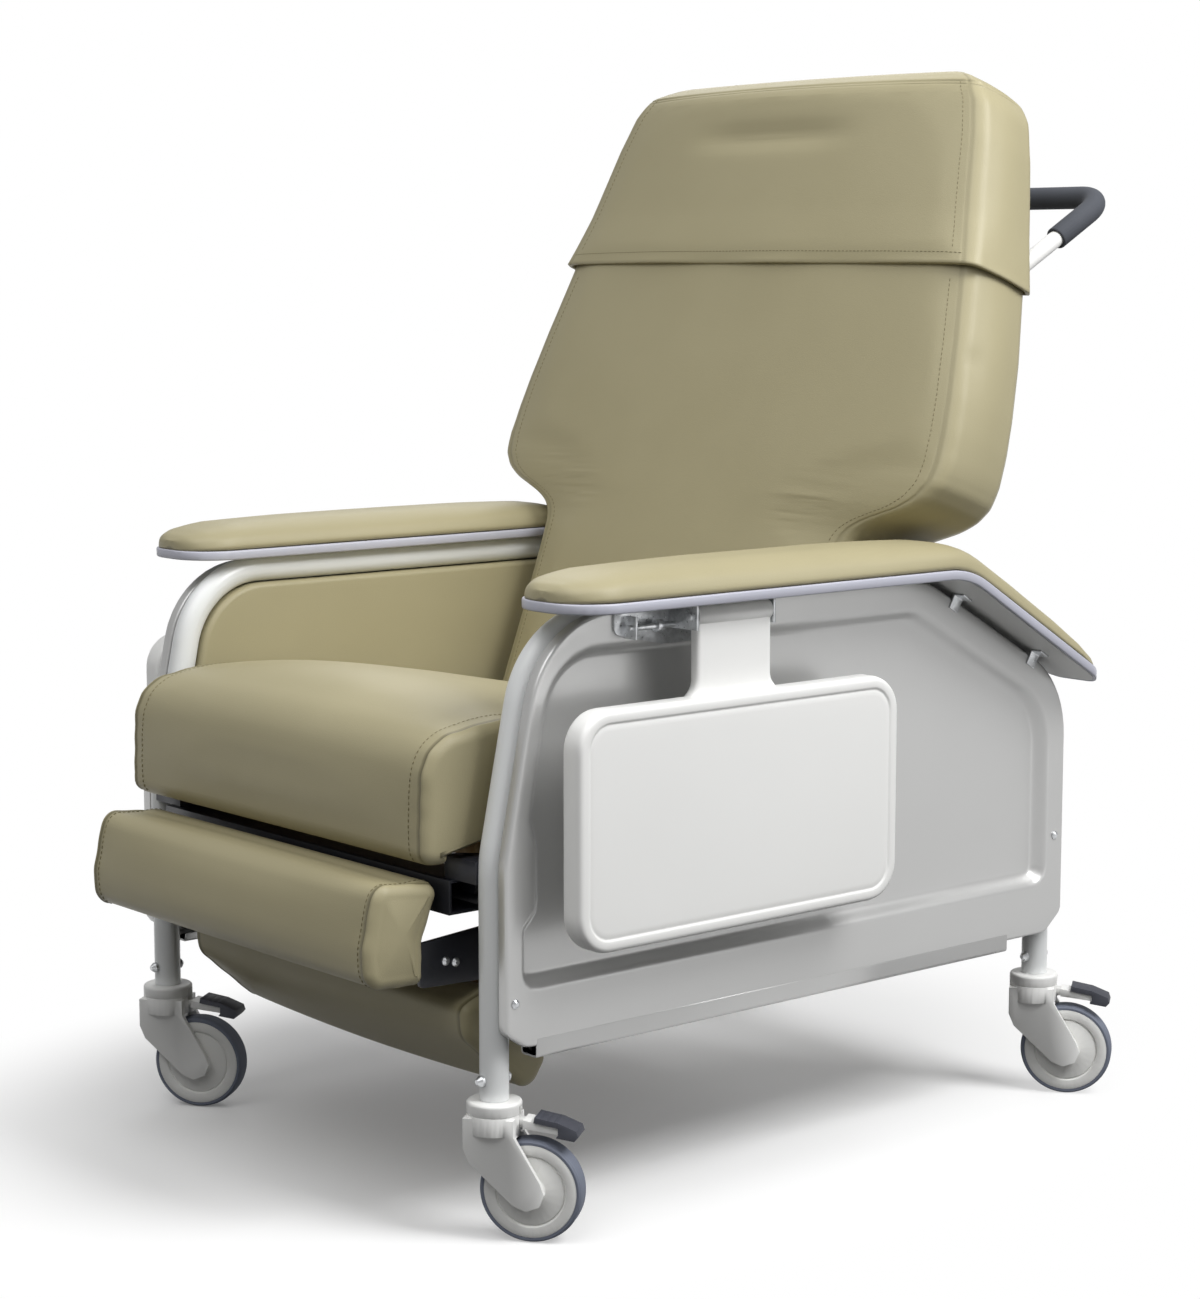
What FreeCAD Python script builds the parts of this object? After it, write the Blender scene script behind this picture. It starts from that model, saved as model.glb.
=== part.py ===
import FreeCAD, Part
import math
import os
import Sketcher

# Clinical recliner on four braked casters, with a reclining back, a leg rest and two side trays.
# Millimetres, +Z up. The chair faces -Y and +X is the occupant's left. The origin is on the floor
# under the middle of the outer box. Stations along Y are counted from the middle of the leg span,
# which lies span_shift in front of the origin.

doc = FreeCAD.newDocument("clinical_recliner")
sheet = doc.addObject("Spreadsheet::Sheet", "dims")

SIZES = [
    ("span_shift", 38),          # leg span middle to origin, along Y
    ("deck_half", 255),          # half width of the seat deck, sets the width of the chair
    ("deck_long", 408),          # length of the seat deck, sets where the back stands
    ("side_x", "=deck_half + 40"),  # side frame tube axis from the middle
    ("tube_od", 28.6),
    ("tube_wall", 1.6),
    ("leg_front", -388.5),
    ("leg_rear", 390),
    ("leg_foot", 137),           # lower end of the legs
    ("leg_kink", 370),           # front leg leans back above this
    ("leg_lean", 12),            # degrees
    ("rail_top", 594),           # axis of the arm rail
    ("rail_bend", 168),          # station where the rail turns down
    ("rail_drop", 126),          # fall of the rail to the rear leg corner
    ("bend_radius", 95),
    ("panel_sheet", 2),
    ("panel_depth", 15),         # rim stands this far out from the recess sheet
    ("panel_low", 190),          # lower edge of the outer panel
    ("panel_draft", 9),          # run-in of the recess wall
    ("side_pad_depth", 22),      # upholstered inner panel
    ("arm_inner", "=side_x - 27"),
    ("arm_outer", "=side_x + 93"),
    ("arm_front", -357),
    ("arm_rear", 410),
    ("arm_thick", 10),
    ("arm_crown", 27),
    ("trim_wide", 4),
    ("tray_front", -356),
    ("tray_rear", 70),
    ("tray_low", 285),
    ("tray_high", 518),
    ("tray_face", "=side_x + 90"),  # outer face from the middle
    ("tray_thick", 28),
    ("tray_rim", 12),
    ("tray_recess", 2),
    ("tray_corner", 38),
    ("neck_front", -194),
    ("neck_rear", -96),
    ("neck_thick", 12),
    ("hinge_x", "=side_x + 67"),  # tray hinge pin
    ("hinge_z", 595),
    ("hinge_pin", 8),
    ("hinge_knuckle", 10),
    ("running_gap", 0.05),       # radial clearance on pins that turn
    ("seat_pitch", 8.5),         # degrees, rear lower
    ("deck_front", -411),
    ("deck_top", 393),
    ("deck_thick", 18),
    ("rail_in", "=deck_half - 23"),  # seat rail inner face
    ("rail_wide", 20),
    ("rail_high", 40),
    ("rail_wall", 2.5),
    ("cross_front", -411),       # front cross tube
    ("cross_wide", 46),
    ("cross_low", 313),
    ("cross_high", 34),
    ("cross_half", "=deck_half"),
    ("cross_od", 25.4),
    ("seat_half", "=deck_half + 12"),
    ("seat_front", -451),
    ("seat_crest", 500),
    ("seat_crown", 27),
    ("seat_roll_low", 363),
    ("back_lean", 20),           # degrees from upright
    ("back_y", "=deck_long - 257"),  # datum on the back's front plane
    ("back_z", 743),
    ("back_narrow", "=deck_half + 3"),
    ("back_wing", "=side_x + 75"),
    ("back_head", 285),
    ("back_thick", 100),
    ("back_crown", 16),
    ("back_bottom", -345),       # along the back from the datum
    ("back_top", 432),
    ("hem_level", 203),
    ("cover_thick", 4),
    ("board_thick", 8),
    ("upright_x", "=rail_in - 12"),
    ("upright_wide", 30),
    ("upright_deep", 40),
    ("upright_top", 150),
    ("pivot_level", -285),       # recline pivot along the back
    ("pivot_pin", 16),
    ("plate_in", "=upright_x + upright_wide / 2 + 5"),  # pivot plate inner face
    ("plate_thick", 6),
    ("handle_od", 19),
    ("handle_y", 576),
    ("handle_z", 1009.7),
    ("handle_bend", 38),
    ("grip_od", 26),
    ("grip_leg", 100),
    ("bolster_half", "=deck_half"),
    ("bolster_front", -511),
    ("bolster_rear", -436),
    ("bolster_low", 246),
    ("bolster_high", 356),
    ("foot_half", "=deck_half - 10"),
    ("foot_corner", 16),
    ("foot_y", -274),            # lower rear corner of the foot pad
    ("foot_z", 150),
    ("foot_slope", 49.1),        # degrees above level
    ("foot_long", 108.5),
    ("foot_thick", 64),
    ("slide_sleeve", 26),
    ("slide_x", "=rail_in - slide_sleeve / 2"),  # slide bar axis, sleeve against the rail
    ("slide_z", 300),
    ("slide_high", 24),
    ("slide_wall", 4),
    ("slide_gap", 0.3),
    ("sleeve_front", -290),
    ("sleeve_rear", -60),
    ("bar_rear", 200),
    ("swing_y", -303),           # leg rest pivot
    ("swing_pin", 10),
    ("swing_eye", 9),
    ("leg_plate_in", "=slide_x + slide_sleeve / 2 - slide_wall + 0.5"),
    ("leg_plate", 5),
    ("wheel_radius", 50.8),
    ("hub_radius", 46),
    ("hub_wide", 26),
    ("tyre_wide", 24),
    ("trail", 38),
    ("trail_turn", 37),          # degrees from +X, wheels as parked
    ("fork_gap", 31),
    ("fork_wide", 43),
    ("collar_radius", 27),
    ("collar_low", 106),
    ("stem_radius", 8),
    ("seat_clear", 0.3),         # gap under a part that turns
    ("axle_radius", 6),
    ("pedal_pin", 3),
    ("pedal_wide", 28),
    ("bolt_radius", 3),
    ("bolt_level", 157),
]
for row, (alias, value) in enumerate(SIZES, 1):
    sheet.set("A%d" % row, alias)
    sheet.setAlias("B%d" % row, alias)
for row, (alias, value) in enumerate(SIZES, 1):
    sheet.set("B%d" % row, str(value))
doc.recompute()

V = FreeCAD.Vector
UNIT_X = V(1, 0, 0)
UNIT_Y = V(0, 1, 0)
UNIT_Z = V(0, 0, 1)
SIDES = (("left", 1), ("right", -1))
nodes = []


def d(alias):
    """Value of one driving dimension."""
    return float(sheet.get(alias))


def node(obj, label):
    """Register an object as a piece of the part under its plain name."""
    obj.Label = label
    nodes.append(obj)
    return obj


def place(obj, x="0", y="0", z="0", rotation=None):
    """Set a piece on the part's frame: Y is a station from the middle of the leg span."""
    if rotation is not None:
        obj.Placement = FreeCAD.Placement(V(0, 0, 0), rotation)
    obj.setExpression("Placement.Base.x", str(x))
    obj.setExpression("Placement.Base.y", "%s - dims.span_shift" % y)
    obj.setExpression("Placement.Base.z", str(z))
    return obj


def box(name, size, corner, rotation=None):
    """Block with bound sizes, from its corner, in stations."""
    block = doc.addObject("Part::Box", name)
    if rotation is not None:
        block.Placement = FreeCAD.Placement(V(0, 0, 0), rotation)
    for prop, value in zip(("Length", "Width", "Height"), size):
        block.setExpression(prop, str(value))
    for axis, value in zip("xyz", corner):
        block.setExpression("Placement.Base." + axis, str(value))
    return block


def rod(name, radius, length, start, axis):
    """Cylinder with bound sizes from its start point along X, Y or Z."""
    turn = {"x": FreeCAD.Rotation(UNIT_Y, 90), "y": FreeCAD.Rotation(UNIT_X, -90), "z": FreeCAD.Rotation()}
    cylinder = doc.addObject("Part::Cylinder", name)
    cylinder.Placement = FreeCAD.Placement(V(0, 0, 0), turn[axis])
    cylinder.setExpression("Radius", str(radius))
    cylinder.setExpression("Height", str(length))
    for letter, value in zip("xyz", start):
        cylinder.setExpression("Placement.Base." + letter, str(value))
    return cylinder


def cut(name, base, *tools):
    """Base less its tools."""
    tool = tools[0] if len(tools) == 1 else fuse(name + "_tools", *tools)
    result = doc.addObject("Part::Cut", name)
    result.Base = base
    result.Tool = tool
    return result


def fuse(name, *shapes):
    """One solid from several that meet."""
    result = doc.addObject("Part::MultiFuse", name)
    result.Shapes = list(shapes)
    return result


def group(name, *shapes):
    """Separate solids kept together in one node."""
    result = doc.addObject("Part::Compound", name)
    result.Links = list(shapes)
    return result


def feature(name, shape):
    """Piece whose form needs Part's own functions."""
    piece = doc.addObject("Part::Feature", name)
    piece.Shape = shape
    return piece


def new_sketch(body, name, role, offset=None):
    """Sketch on one of the body's own origin planes."""
    sketch = body.newObject("Sketcher::SketchObject", name)
    plane = [f for f in body.Origin.OriginFeatures if f.Role == role][0]
    sketch.AttachmentSupport = [(plane, "")]
    sketch.MapMode = "FlatFace"
    if offset is not None:
        sketch.AttachmentOffset = FreeCAD.Placement(V(0, 0, 0), FreeCAD.Rotation())
        sketch.setExpression("AttachmentOffset.Base.z", str(offset))
    return sketch


def polygon(sketch, points):
    """Closed outline; each coordinate is an expression of the sheet's values."""
    flat = [[doc_value(c) for c in p] for p in points]
    count = len(points)
    for i in range(count):
        a = V(flat[i][0], flat[i][1], 0)
        b = V(flat[(i + 1) % count][0], flat[(i + 1) % count][1], 0)
        sketch.addGeometry(Part.LineSegment(a, b), False)
    for i in range(count):
        sketch.addConstraint(Sketcher.Constraint("Coincident", i, 2, (i + 1) % count, 1))
    for i, point in enumerate(points):
        for kind, value, coordinate in zip(("DistanceX", "DistanceY"), flat[i], point):
            index = sketch.addConstraint(Sketcher.Constraint(kind, -1, 1, i, 1, value))
            if isinstance(coordinate, str):
                sketch.setExpression("Constraints[%d]" % index, coordinate)


def doc_value(expression):
    """Number that an expression of the sheet's values gives now."""
    if not isinstance(expression, str):
        return float(expression)
    return float(sheet.evalExpression(expression.replace("dims.", "")))


def pad(body, sketch, length, middle=True):
    """Extrude a sketch by a bound length."""
    feat = body.newObject("PartDesign::Pad", sketch.Name + "_pad")
    feat.Profile = sketch
    feat.setExpression("Length", str(length))
    feat.Midplane = middle
    sketch.Visibility = False
    return feat


def revolve(body, sketch):
    """Turn a sketch once round its vertical axis."""
    feat = body.newObject("PartDesign::Revolution", sketch.Name + "_turned")
    feat.Profile = sketch
    feat.ReferenceAxis = (sketch, ["V_Axis"])
    feat.Angle = 360
    sketch.Visibility = False
    return feat


def prism(name, role, points, length, middle=True):
    """Body padded from one bound outline."""
    body = doc.addObject("PartDesign::Body", name)
    pad(body, polygon_sketch(body, name + "_outline", role, points), length, middle)
    return body


def polygon_sketch(body, name, role, points, offset=None):
    """Sketch that holds one bound outline."""
    sketch = new_sketch(body, name, role, offset)
    polygon(sketch, points)
    return sketch


def rounded_edges(points, closed):
    """Straight runs and tangent arcs through points given as (vector, radius)."""
    count = len(points)
    stops = []
    for i, (corner, radius) in enumerate(points):
        if radius <= 0 or (not closed and i in (0, count - 1)):
            stops.append([corner])
            continue
        back = (points[i - 1][0] - corner).normalize()
        ahead = (points[(i + 1) % count][0] - corner).normalize()
        half = back.getAngle(ahead) / 2
        bisector = (back + ahead).normalize()
        run = radius / math.tan(half)
        middle = corner + bisector * (radius / math.sin(half) - radius)
        stops.append([corner + back * run, middle, corner + ahead * run])
    edges = []
    for i, stop in enumerate(stops):
        if len(stop) == 3:
            edges.append(Part.Arc(*stop).toShape())
        if closed or i < count - 1:
            following = stops[(i + 1) % count][0]
            if stop[-1].distanceToPoint(following) > 1e-6:
                edges.append(Part.LineSegment(stop[-1], following).toShape())
    return edges


def rounded_wire(points, closed=True):
    """Wire of straight runs and tangent arcs."""
    return Part.Wire(rounded_edges(points, closed))


def side_wire(outline, x):
    """Closed wire across X from (station, height, radius) points."""
    return rounded_wire([(V(x, y, z), r) for y, z, r in outline])


def inset(outline, amount):
    """Same outline drawn in by an amount, listed anticlockwise, corner radii kept tangent."""
    count = len(outline)
    result = []
    for i, (y, z, r) in enumerate(outline):
        py, pz, _ = outline[i - 1]
        ny, nz, _ = outline[(i + 1) % count]
        a = V(y - py, z - pz, 0).normalize()
        b = V(ny - y, nz - z, 0).normalize()
        normal_a = V(-a.y, a.x, 0)
        normal_b = V(-b.y, b.x, 0)
        shift = (normal_a + normal_b) * (amount / (1 + normal_a.dot(normal_b)))
        turn = a.x * b.y - a.y * b.x
        radius = max(r - amount, 0.6) if turn > 0 else r + amount
        result.append((y + shift.x, z + shift.y, radius if r > 0 else 0))
    return result


def swept(path, radius):
    """Round bar along a path of (vector, radius) points."""
    spine = rounded_wire(path, closed=False)
    start = path[0][0]
    ring = Part.Wire(Part.Circle(start, path[1][0] - start, radius).toShape())
    return spine.makePipeShell([ring], True, False)


def mirrored(shape, side):
    """Shape for the occupant's left as it is, or mirrored for the right."""
    return shape if side > 0 else shape.mirror(V(0, 0, 0), UNIT_X)


def loft(wires, ruled=False):
    """Solid through closed wires."""
    return Part.makeLoft(wires, True, ruled)


tube_radius = d("tube_od") / 2
bore_radius = tube_radius - d("tube_wall")
lean = math.radians(d("leg_lean"))
kink_back = (d("rail_top") - d("leg_kink")) * math.tan(lean)
fall = d("rail_drop") / (d("leg_rear") - d("rail_bend"))
fall_angle = math.degrees(math.atan(fall))


# Side frames: one bent tube a side, from front caster over the arm to rear caster

def frame_path(x):
    """Axis of the side tube as (vector, bend radius)."""
    return [
        (V(x, d("leg_front"), d("leg_foot")), 0),
        (V(x, d("leg_front"), d("leg_kink")), 120),
        (V(x, d("leg_front") + kink_back, d("rail_top")), d("bend_radius")),
        (V(x, d("rail_bend"), d("rail_top")), d("bend_radius")),
        (V(x, d("leg_rear"), d("rail_top") - d("rail_drop")), d("bend_radius")),
        (V(x, d("leg_rear"), d("leg_foot")), 0),
    ]


def bolt_bores(x):
    """Cross bores for the caster bolts of one side frame."""
    bores = []
    for station in (d("leg_front"), d("leg_rear")):
        start = V(x, station - tube_radius - 2, d("bolt_level"))
        bores.append(Part.makeCylinder(d("bolt_radius"), d("tube_od") + 4, start, UNIT_Y))
    return bores


for side_name, side in SIDES:
    tube_x = side * d("side_x")
    tube = swept(frame_path(tube_x), tube_radius).cut(swept(frame_path(tube_x), bore_radius))
    tube = tube.cut(bolt_bores(tube_x))
    place(node(feature(side_name + "_tube", tube), side_name + "_side_frame"))


# Outer panels: formed sheet with a deep recess, a folded edge and a hooked lower lip

panel_in = d("side_x") + tube_radius + 1.7
panel_out = panel_in + d("panel_depth")
edge = 8.5
panel_outline = [
    (d("leg_front") + 16.5, d("panel_low"), 8),
    (d("leg_rear") - 18, d("panel_low"), 8),
    (d("leg_rear") + edge, d("panel_low") + 22, 10),
    (d("leg_rear") + edge, d("rail_top") - d("rail_drop") + 5, 103),
    (d("rail_bend") + 2, d("rail_top") + edge, 103),
    (d("leg_front") + kink_back - 8.6, d("rail_top") + edge, 103),
    (d("leg_front") - edge, d("leg_kink") + 1, 120),
    (d("leg_front") - edge, d("panel_low") + 17, 10),
]
recess_low = d("panel_low") + 58
recess_front = d("leg_front") + 11.5
recess_rear = d("leg_rear") - 21
recess_high = d("rail_top") - 24
recess_outline = [
    (recess_front, recess_low, 16),
    (recess_rear, recess_low, 20),
    (recess_rear, d("rail_top") - d("rail_drop") - 16, 80),
    (d("rail_bend") - 10, recess_high, 60),
    (d("leg_front") + kink_back + 1, recess_high, 70),
    (d("leg_front") + 20.5, d("leg_kink") + 39, 10),
    (d("leg_front") + 27.5, d("leg_kink") + 15, 6),
    (d("leg_front") + 27.5, recess_low + 70, 5),
    (recess_front, recess_low + 63, 5),
]


def outer_panel():
    """Formed sheet: folded block, recess pressed in from outside, hollow behind the rim."""
    sheet_t = d("panel_sheet")
    depth = V(d("panel_depth"), 0, 0)
    block = Part.Face(side_wire(panel_outline, panel_in)).extrude(depth)
    floor_x = panel_in + sheet_t
    pressed = loft([side_wire(recess_outline, panel_out),
                    side_wire(inset(recess_outline, d("panel_draft")), floor_x)], True)
    hollow = Part.Face(side_wire(inset(panel_outline, sheet_t), panel_in))
    hollow = hollow.extrude(V(d("panel_depth") - sheet_t, 0, 0))
    pan = loft([side_wire(inset(recess_outline, -sheet_t), panel_out),
                side_wire(inset(recess_outline, d("panel_draft") - sheet_t), panel_in)], True)
    body = block.cut(hollow.cut(pan)).cut(pressed)
    lip = [(panel_in, d("panel_low") + sheet_t), (panel_in, d("panel_low") - 12),
           (panel_in + 25, d("panel_low") - 12), (panel_in + 25, d("panel_low") + 3),
           (panel_in + 25 - sheet_t, d("panel_low") + 3), (panel_in + 25 - sheet_t,
                                                           d("panel_low") - 12 + sheet_t),
           (panel_in + sheet_t, d("panel_low") - 12 + sheet_t), (panel_in + sheet_t,
                                                                 d("panel_low") + sheet_t)]
    start = d("leg_front") + 28.5
    hook = Part.Face(Part.makePolygon([V(x, start, z) for x, z in lip + lip[:1]]))
    return body.fuse(hook.extrude(V(0, d("leg_rear") - 82 - start, 0))).removeSplitter()


def inner_panel():
    """Upholstered board that fills the side frame beside the seat, edges eased on the seat side."""
    rise = d("rail_top") - tube_radius
    slip = tube_radius / math.cos(lean)
    front = d("leg_front") + tube_radius
    low = d("leg_kink") - 70
    rear = d("rail_bend") + 62
    drop_at_rear = (rear - d("rail_bend") + tube_radius * math.tan(math.radians(fall_angle / 2))) * fall
    outline = [
        (front, low, 6),
        (rear, low, 6),
        (rear, rise - drop_at_rear, 8),
        (d("rail_bend") - tube_radius * math.tan(math.radians(fall_angle / 2)), rise,
         d("bend_radius") - tube_radius),
        (d("leg_front") + slip + (rise - d("leg_kink")) * math.tan(lean), rise,
         d("bend_radius") - tube_radius),
        (front, d("leg_kink") - 1.5, 120 - tube_radius),
    ]
    inner = d("side_x") - 17
    ease = 6
    outer = inner + d("side_pad_depth")
    wires = [side_wire(inset(outline, ease), inner), side_wire(outline, inner + ease),
             side_wire(outline, outer)]
    return loft(wires, True)


for side_name, side in SIDES:
    place(node(feature(side_name + "_pressing", mirrored(outer_panel(), side)), side_name + "_outer_panel"))
    place(node(feature(side_name + "_side_pad", mirrored(inner_panel(), side)), side_name + "_inner_panel"))


# Arms: bent board on the rail, edge trim and crowned pad

board_low = d("rail_top") + tube_radius
arm_middle = (d("arm_inner") + d("arm_outer")) / 2
turn_half = math.tan(math.radians(fall_angle / 2))
arm_bend = d("rail_bend") + tube_radius * turn_half
arm_radius = d("bend_radius") + tube_radius


def arm_level(station, lift):
    """Height of a surface that lies lift above the board's underside."""
    bend = arm_bend + lift * turn_half
    return board_low + lift - max(0, station - bend) * fall


def arm_seat(station):
    """Height of the pad's base, just clear of the board's top and its rounded bend."""
    radius = arm_radius + d("arm_thick")
    past = station - arm_bend + arm_radius * turn_half
    if 0 < past < radius * math.sin(math.radians(fall_angle)):
        return board_low + d("arm_thick") - radius + math.sqrt(radius * radius - past * past) + 0.3
    return arm_level(station, d("arm_thick")) + 0.3


def arm_plan(draw_in):
    """Plan of the arm: rounded front, inner edge drawn away from the back, tapered rear."""
    inner, outer = d("arm_inner") + draw_in, d("arm_outer") - draw_in
    front, rear = d("arm_front") + draw_in, d("arm_rear") - draw_in
    clear = d("back_narrow") + 14 + draw_in
    points = [(inner, front, 50 - draw_in), (outer, front, 50 - draw_in), (outer, d("rail_bend"), 200),
              (outer - 16, rear, 26 - draw_in), (clear + 18, rear, 26 - draw_in),
              (clear, d("rail_bend") + 20, 150), (inner, d("rail_bend") - 110, 150)]
    return rounded_wire([(V(x, y, 0), r) for x, y, r in points])


def arm_strip():
    """Board section along the arm, wider than the arm."""
    thick = d("arm_thick")
    high_bend = arm_bend + thick * turn_half
    front, rear = d("arm_front") - 5, d("arm_rear") + 5
    outline = [(front, board_low, 0), (arm_bend, board_low, arm_radius),
               (rear, arm_level(rear, 0), 0), (rear, arm_level(rear, thick), 0),
               (high_bend, board_low + thick, arm_radius + thick),
               (front, board_low + thick, 0)]
    reach = d("arm_outer") - d("arm_inner") + 20
    return Part.Face(side_wire(outline, d("arm_inner") - 10)).extrude(V(reach, 0, 0))


def arm_prism(draw_in):
    """Upright prism of the arm's plan."""
    wire = arm_plan(draw_in)
    wire.translate(V(0, 0, 300))
    return Part.Face(wire).extrude(V(0, 0, 500))


def arm_section(station, inner, outer, crown):
    """Pad section: flat base, swelling sides and one crowned arc."""
    base = arm_seat(station)
    shoulder = base + 0.62 * crown
    middle = (inner + outer) / 2
    swell = 1.5
    corners = [V(inner + 2, station, base), V(outer - 2, station, base),
               V(outer - 1.5, station, shoulder), V(inner + 1.5, station, shoulder)]
    return Part.Wire([
        Part.LineSegment(corners[0], corners[1]).toShape(),
        Part.Arc(corners[1], V(outer - 1.5 + swell, station, base + 0.3 * crown), corners[2]).toShape(),
        Part.Arc(corners[2], V(middle, station, base + crown), corners[3]).toShape(),
        Part.Arc(corners[3], V(inner + 1.5 - swell, station, base + 0.3 * crown), corners[0]).toShape(),
    ])


def between(rows, station):
    """Row at a station, in proportion between the rows on either side of it."""
    before = max(row for row in rows if row[0] <= station)
    after = min(row for row in rows if row[0] > station)
    share = (station - before[0]) / (after[0] - before[0])
    return tuple(a + share * (b - a) for a, b in zip(before, after))


def arm_pad():
    """Pad lofted along the arm, with rounded front and tapered rear end."""
    inner, outer, crown = d("arm_inner") + 1, d("arm_outer") - 1, d("arm_crown")
    front, rear, bend = d("arm_front") + 2, d("arm_rear") - 3, arm_bend
    clear = d("back_narrow") + 15
    rows = [(front, inner + 34, outer - 34, 0.34 * crown), (front + 8, inner + 19, outer - 19,
                                                            0.62 * crown),
            (front + 26, inner + 6, outer - 6, 0.88 * crown), (front + 55, inner, outer, crown),
            (bend - 125, inner, outer, crown), (bend - 20, clear - 6, outer, crown),
            (bend + 30, clear, outer - 2, crown), (bend + 90, clear + 6, outer - 6, 0.92 * crown),
            (rear - 40, clear + 15, outer - 14, 0.7 * crown), (rear - 12, clear + 20, outer - 20,
                                                               0.5 * crown),
            (rear, clear + 29, outer - 29, 0.32 * crown)]
    turn = [bend - 40 + 8 * step for step in range(15)]
    rows = [row for row in rows if not turn[0] <= row[0] <= turn[-1]] + [between(rows, at) for at in turn]
    return loft([arm_section(*row) for row in sorted(rows)], True)


def arm_bracket(station, drop):
    """Zinc angle under the sloping end of the arm, seated on the panel rim and the board."""
    thick, long, reach = 2, 15, 15
    foot = Part.makeBox(reach, long, thick, V(panel_out, -long / 2, -thick))
    leg = Part.makeBox(thick, long, drop, V(panel_out, -long / 2, -drop))
    angle = foot.fuse(leg).removeSplitter()
    angle.Placement = FreeCAD.Placement(V(0, station, arm_level(station, 0)),
                                        FreeCAD.Rotation(UNIT_X, -fall_angle))
    return angle


strip = arm_strip()
board = strip.common(arm_prism(d("trim_wide")))
trim = strip.common(arm_prism(0)).cut(arm_prism(d("trim_wide")))
brackets = []
for side_name, side in SIDES:
    place(node(feature(side_name + "_arm_core", mirrored(board, side)), side_name + "_arm_board"))
    place(node(feature(side_name + "_arm_edge", mirrored(trim, side)), side_name + "_arm_trim"))
    place(node(feature(side_name + "_arm_cushion", mirrored(arm_pad(), side)), side_name + "_arm_pad"))
    for station, drop in ((arm_bend + 48, 17), (d("arm_rear") - 65, 17)):
        brackets.append(mirrored(arm_bracket(station, drop), side))
place(node(feature("arm_angles", Part.makeCompound(brackets)), "arm_brackets"))


# Side trays: moulded tray hung from a knuckle on the bracket's hinge pin

EAR = 3
EAR_GAP = 0.5


def tray(side_name, side):
    """Moulded tray with raised rim, neck and bored knuckle."""
    inner = "(dims.tray_face - dims.tray_thick)"
    shell = box(side_name + "_tray_block", ("dims.tray_thick", "dims.tray_rear - dims.tray_front",
                "dims.tray_high - dims.tray_low"), (inner, "dims.tray_front", "dims.tray_low"))
    doc.recompute()
    blank = doc.addObject("Part::Fillet", side_name + "_tray_blank")
    blank.Base = shell
    corners = [i + 1 for i, e in enumerate(shell.Shape.Edges) if abs(e.tangentAt(e.FirstParameter).x) > 0.9]
    blank.Edges = [(i, d("tray_corner"), d("tray_corner")) for i in corners]
    floor = box(side_name + "_tray_floor", ("dims.tray_recess + 1",
                "dims.tray_rear - dims.tray_front - 2*dims.tray_rim",
                "dims.tray_high - dims.tray_low - 2*dims.tray_rim"),
                ("dims.tray_face - dims.tray_recess", "dims.tray_front + dims.tray_rim",
                 "dims.tray_low + dims.tray_rim"))
    doc.recompute()
    well = doc.addObject("Part::Fillet", side_name + "_tray_well")
    well.Base = floor
    corners = [i + 1 for i, e in enumerate(floor.Shape.Edges) if abs(e.tangentAt(e.FirstParameter).x) > 0.9]
    well.Edges = [(i, d("tray_corner") - d("tray_rim"), d("tray_corner") - d("tray_rim")) for i in corners]
    neck = box(side_name + "_tray_neck", ("dims.neck_thick", "dims.neck_rear - dims.neck_front",
               "dims.hinge_z - dims.tray_high + 15"), (inner, "dims.neck_front", "dims.tray_high - 15"))
    knuckle = rod(side_name + "_tray_knuckle", "dims.hinge_knuckle", "dims.neck_rear - dims.neck_front",
                  ("dims.hinge_x", "dims.neck_front", "dims.hinge_z"), "y")
    bore = rod(side_name + "_tray_bore", "dims.hinge_pin/2 + dims.running_gap",
               "dims.neck_rear - dims.neck_front + 2",
               ("dims.hinge_x", "dims.neck_front - 1", "dims.hinge_z"), "y")
    solid = cut(side_name + "_tray_moulding", fuse(side_name + "_tray_body", blank, neck, knuckle), well,
                bore)
    return solid


def tray_bracket():
    """Zinc back plate on the panel rim, two ears and the hinge pin, with the latch pin beside it."""
    plate_t = 3
    high = board_low - 0.3
    low = d("hinge_z") - 29
    front, rear = d("neck_front") - 72, d("neck_rear") + 14
    plate = [(front, low + 14, 8), (front + 60, low, 6), (rear, low, 10), (rear, high, 0), (front, high, 0)]
    shape = Part.Face(side_wire(plate, panel_out)).extrude(V(plate_t, 0, 0))
    ear_low, ear_reach = d("hinge_z") - 13, d("hinge_x") + 9 - panel_out
    for station in (d("neck_front") - EAR_GAP - EAR, d("neck_rear") + EAR_GAP):
        shape = shape.fuse(Part.makeBox(ear_reach, EAR, high - ear_low, V(panel_out, station, ear_low)))
    pin_start = V(d("hinge_x"), d("neck_front") - EAR_GAP - EAR - 3, d("hinge_z"))
    pin_long = d("neck_rear") - d("neck_front") + 2 * (EAR_GAP + EAR + 3)
    shape = shape.fuse(Part.makeCylinder(d("hinge_pin") / 2, pin_long, pin_start, UNIT_Y))
    latch = V(panel_out + plate_t + 9, front + 10, d("hinge_z") - 9)
    tab = Part.makeBox(18, 3, 22, V(panel_out, front + 14, latch.z - 11))
    latch_long = d("neck_front") - EAR_GAP - EAR - latch.y + 1
    shape = shape.fuse(tab).fuse(Part.makeCylinder(3, latch_long, latch, UNIT_Y))
    shape = shape.fuse(Part.makeCylinder(6, 8, latch + V(0, 34, 0), UNIT_Y))
    return shape.removeSplitter()


for side_name, side in SIDES:
    moulding = tray(side_name, side)
    if side < 0:
        doc.recompute()
        twin = doc.addObject("Part::Mirroring", "right_tray_twin")
        twin.Source = moulding
        twin.Normal = UNIT_X
        moulding = twin
    place(node(moulding, side_name + "_tray"))
tray_arms = Part.makeCompound([mirrored(tray_bracket(), side) for _, side in SIDES])
place(node(feature("tray_arms", tray_arms), "tray_brackets"))


# Seat: welded steel frame, deck board and cushion with a front roll

PITCH = FreeCAD.Rotation(UNIT_X, -d("seat_pitch"))
pitch = math.radians(d("seat_pitch"))


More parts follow.
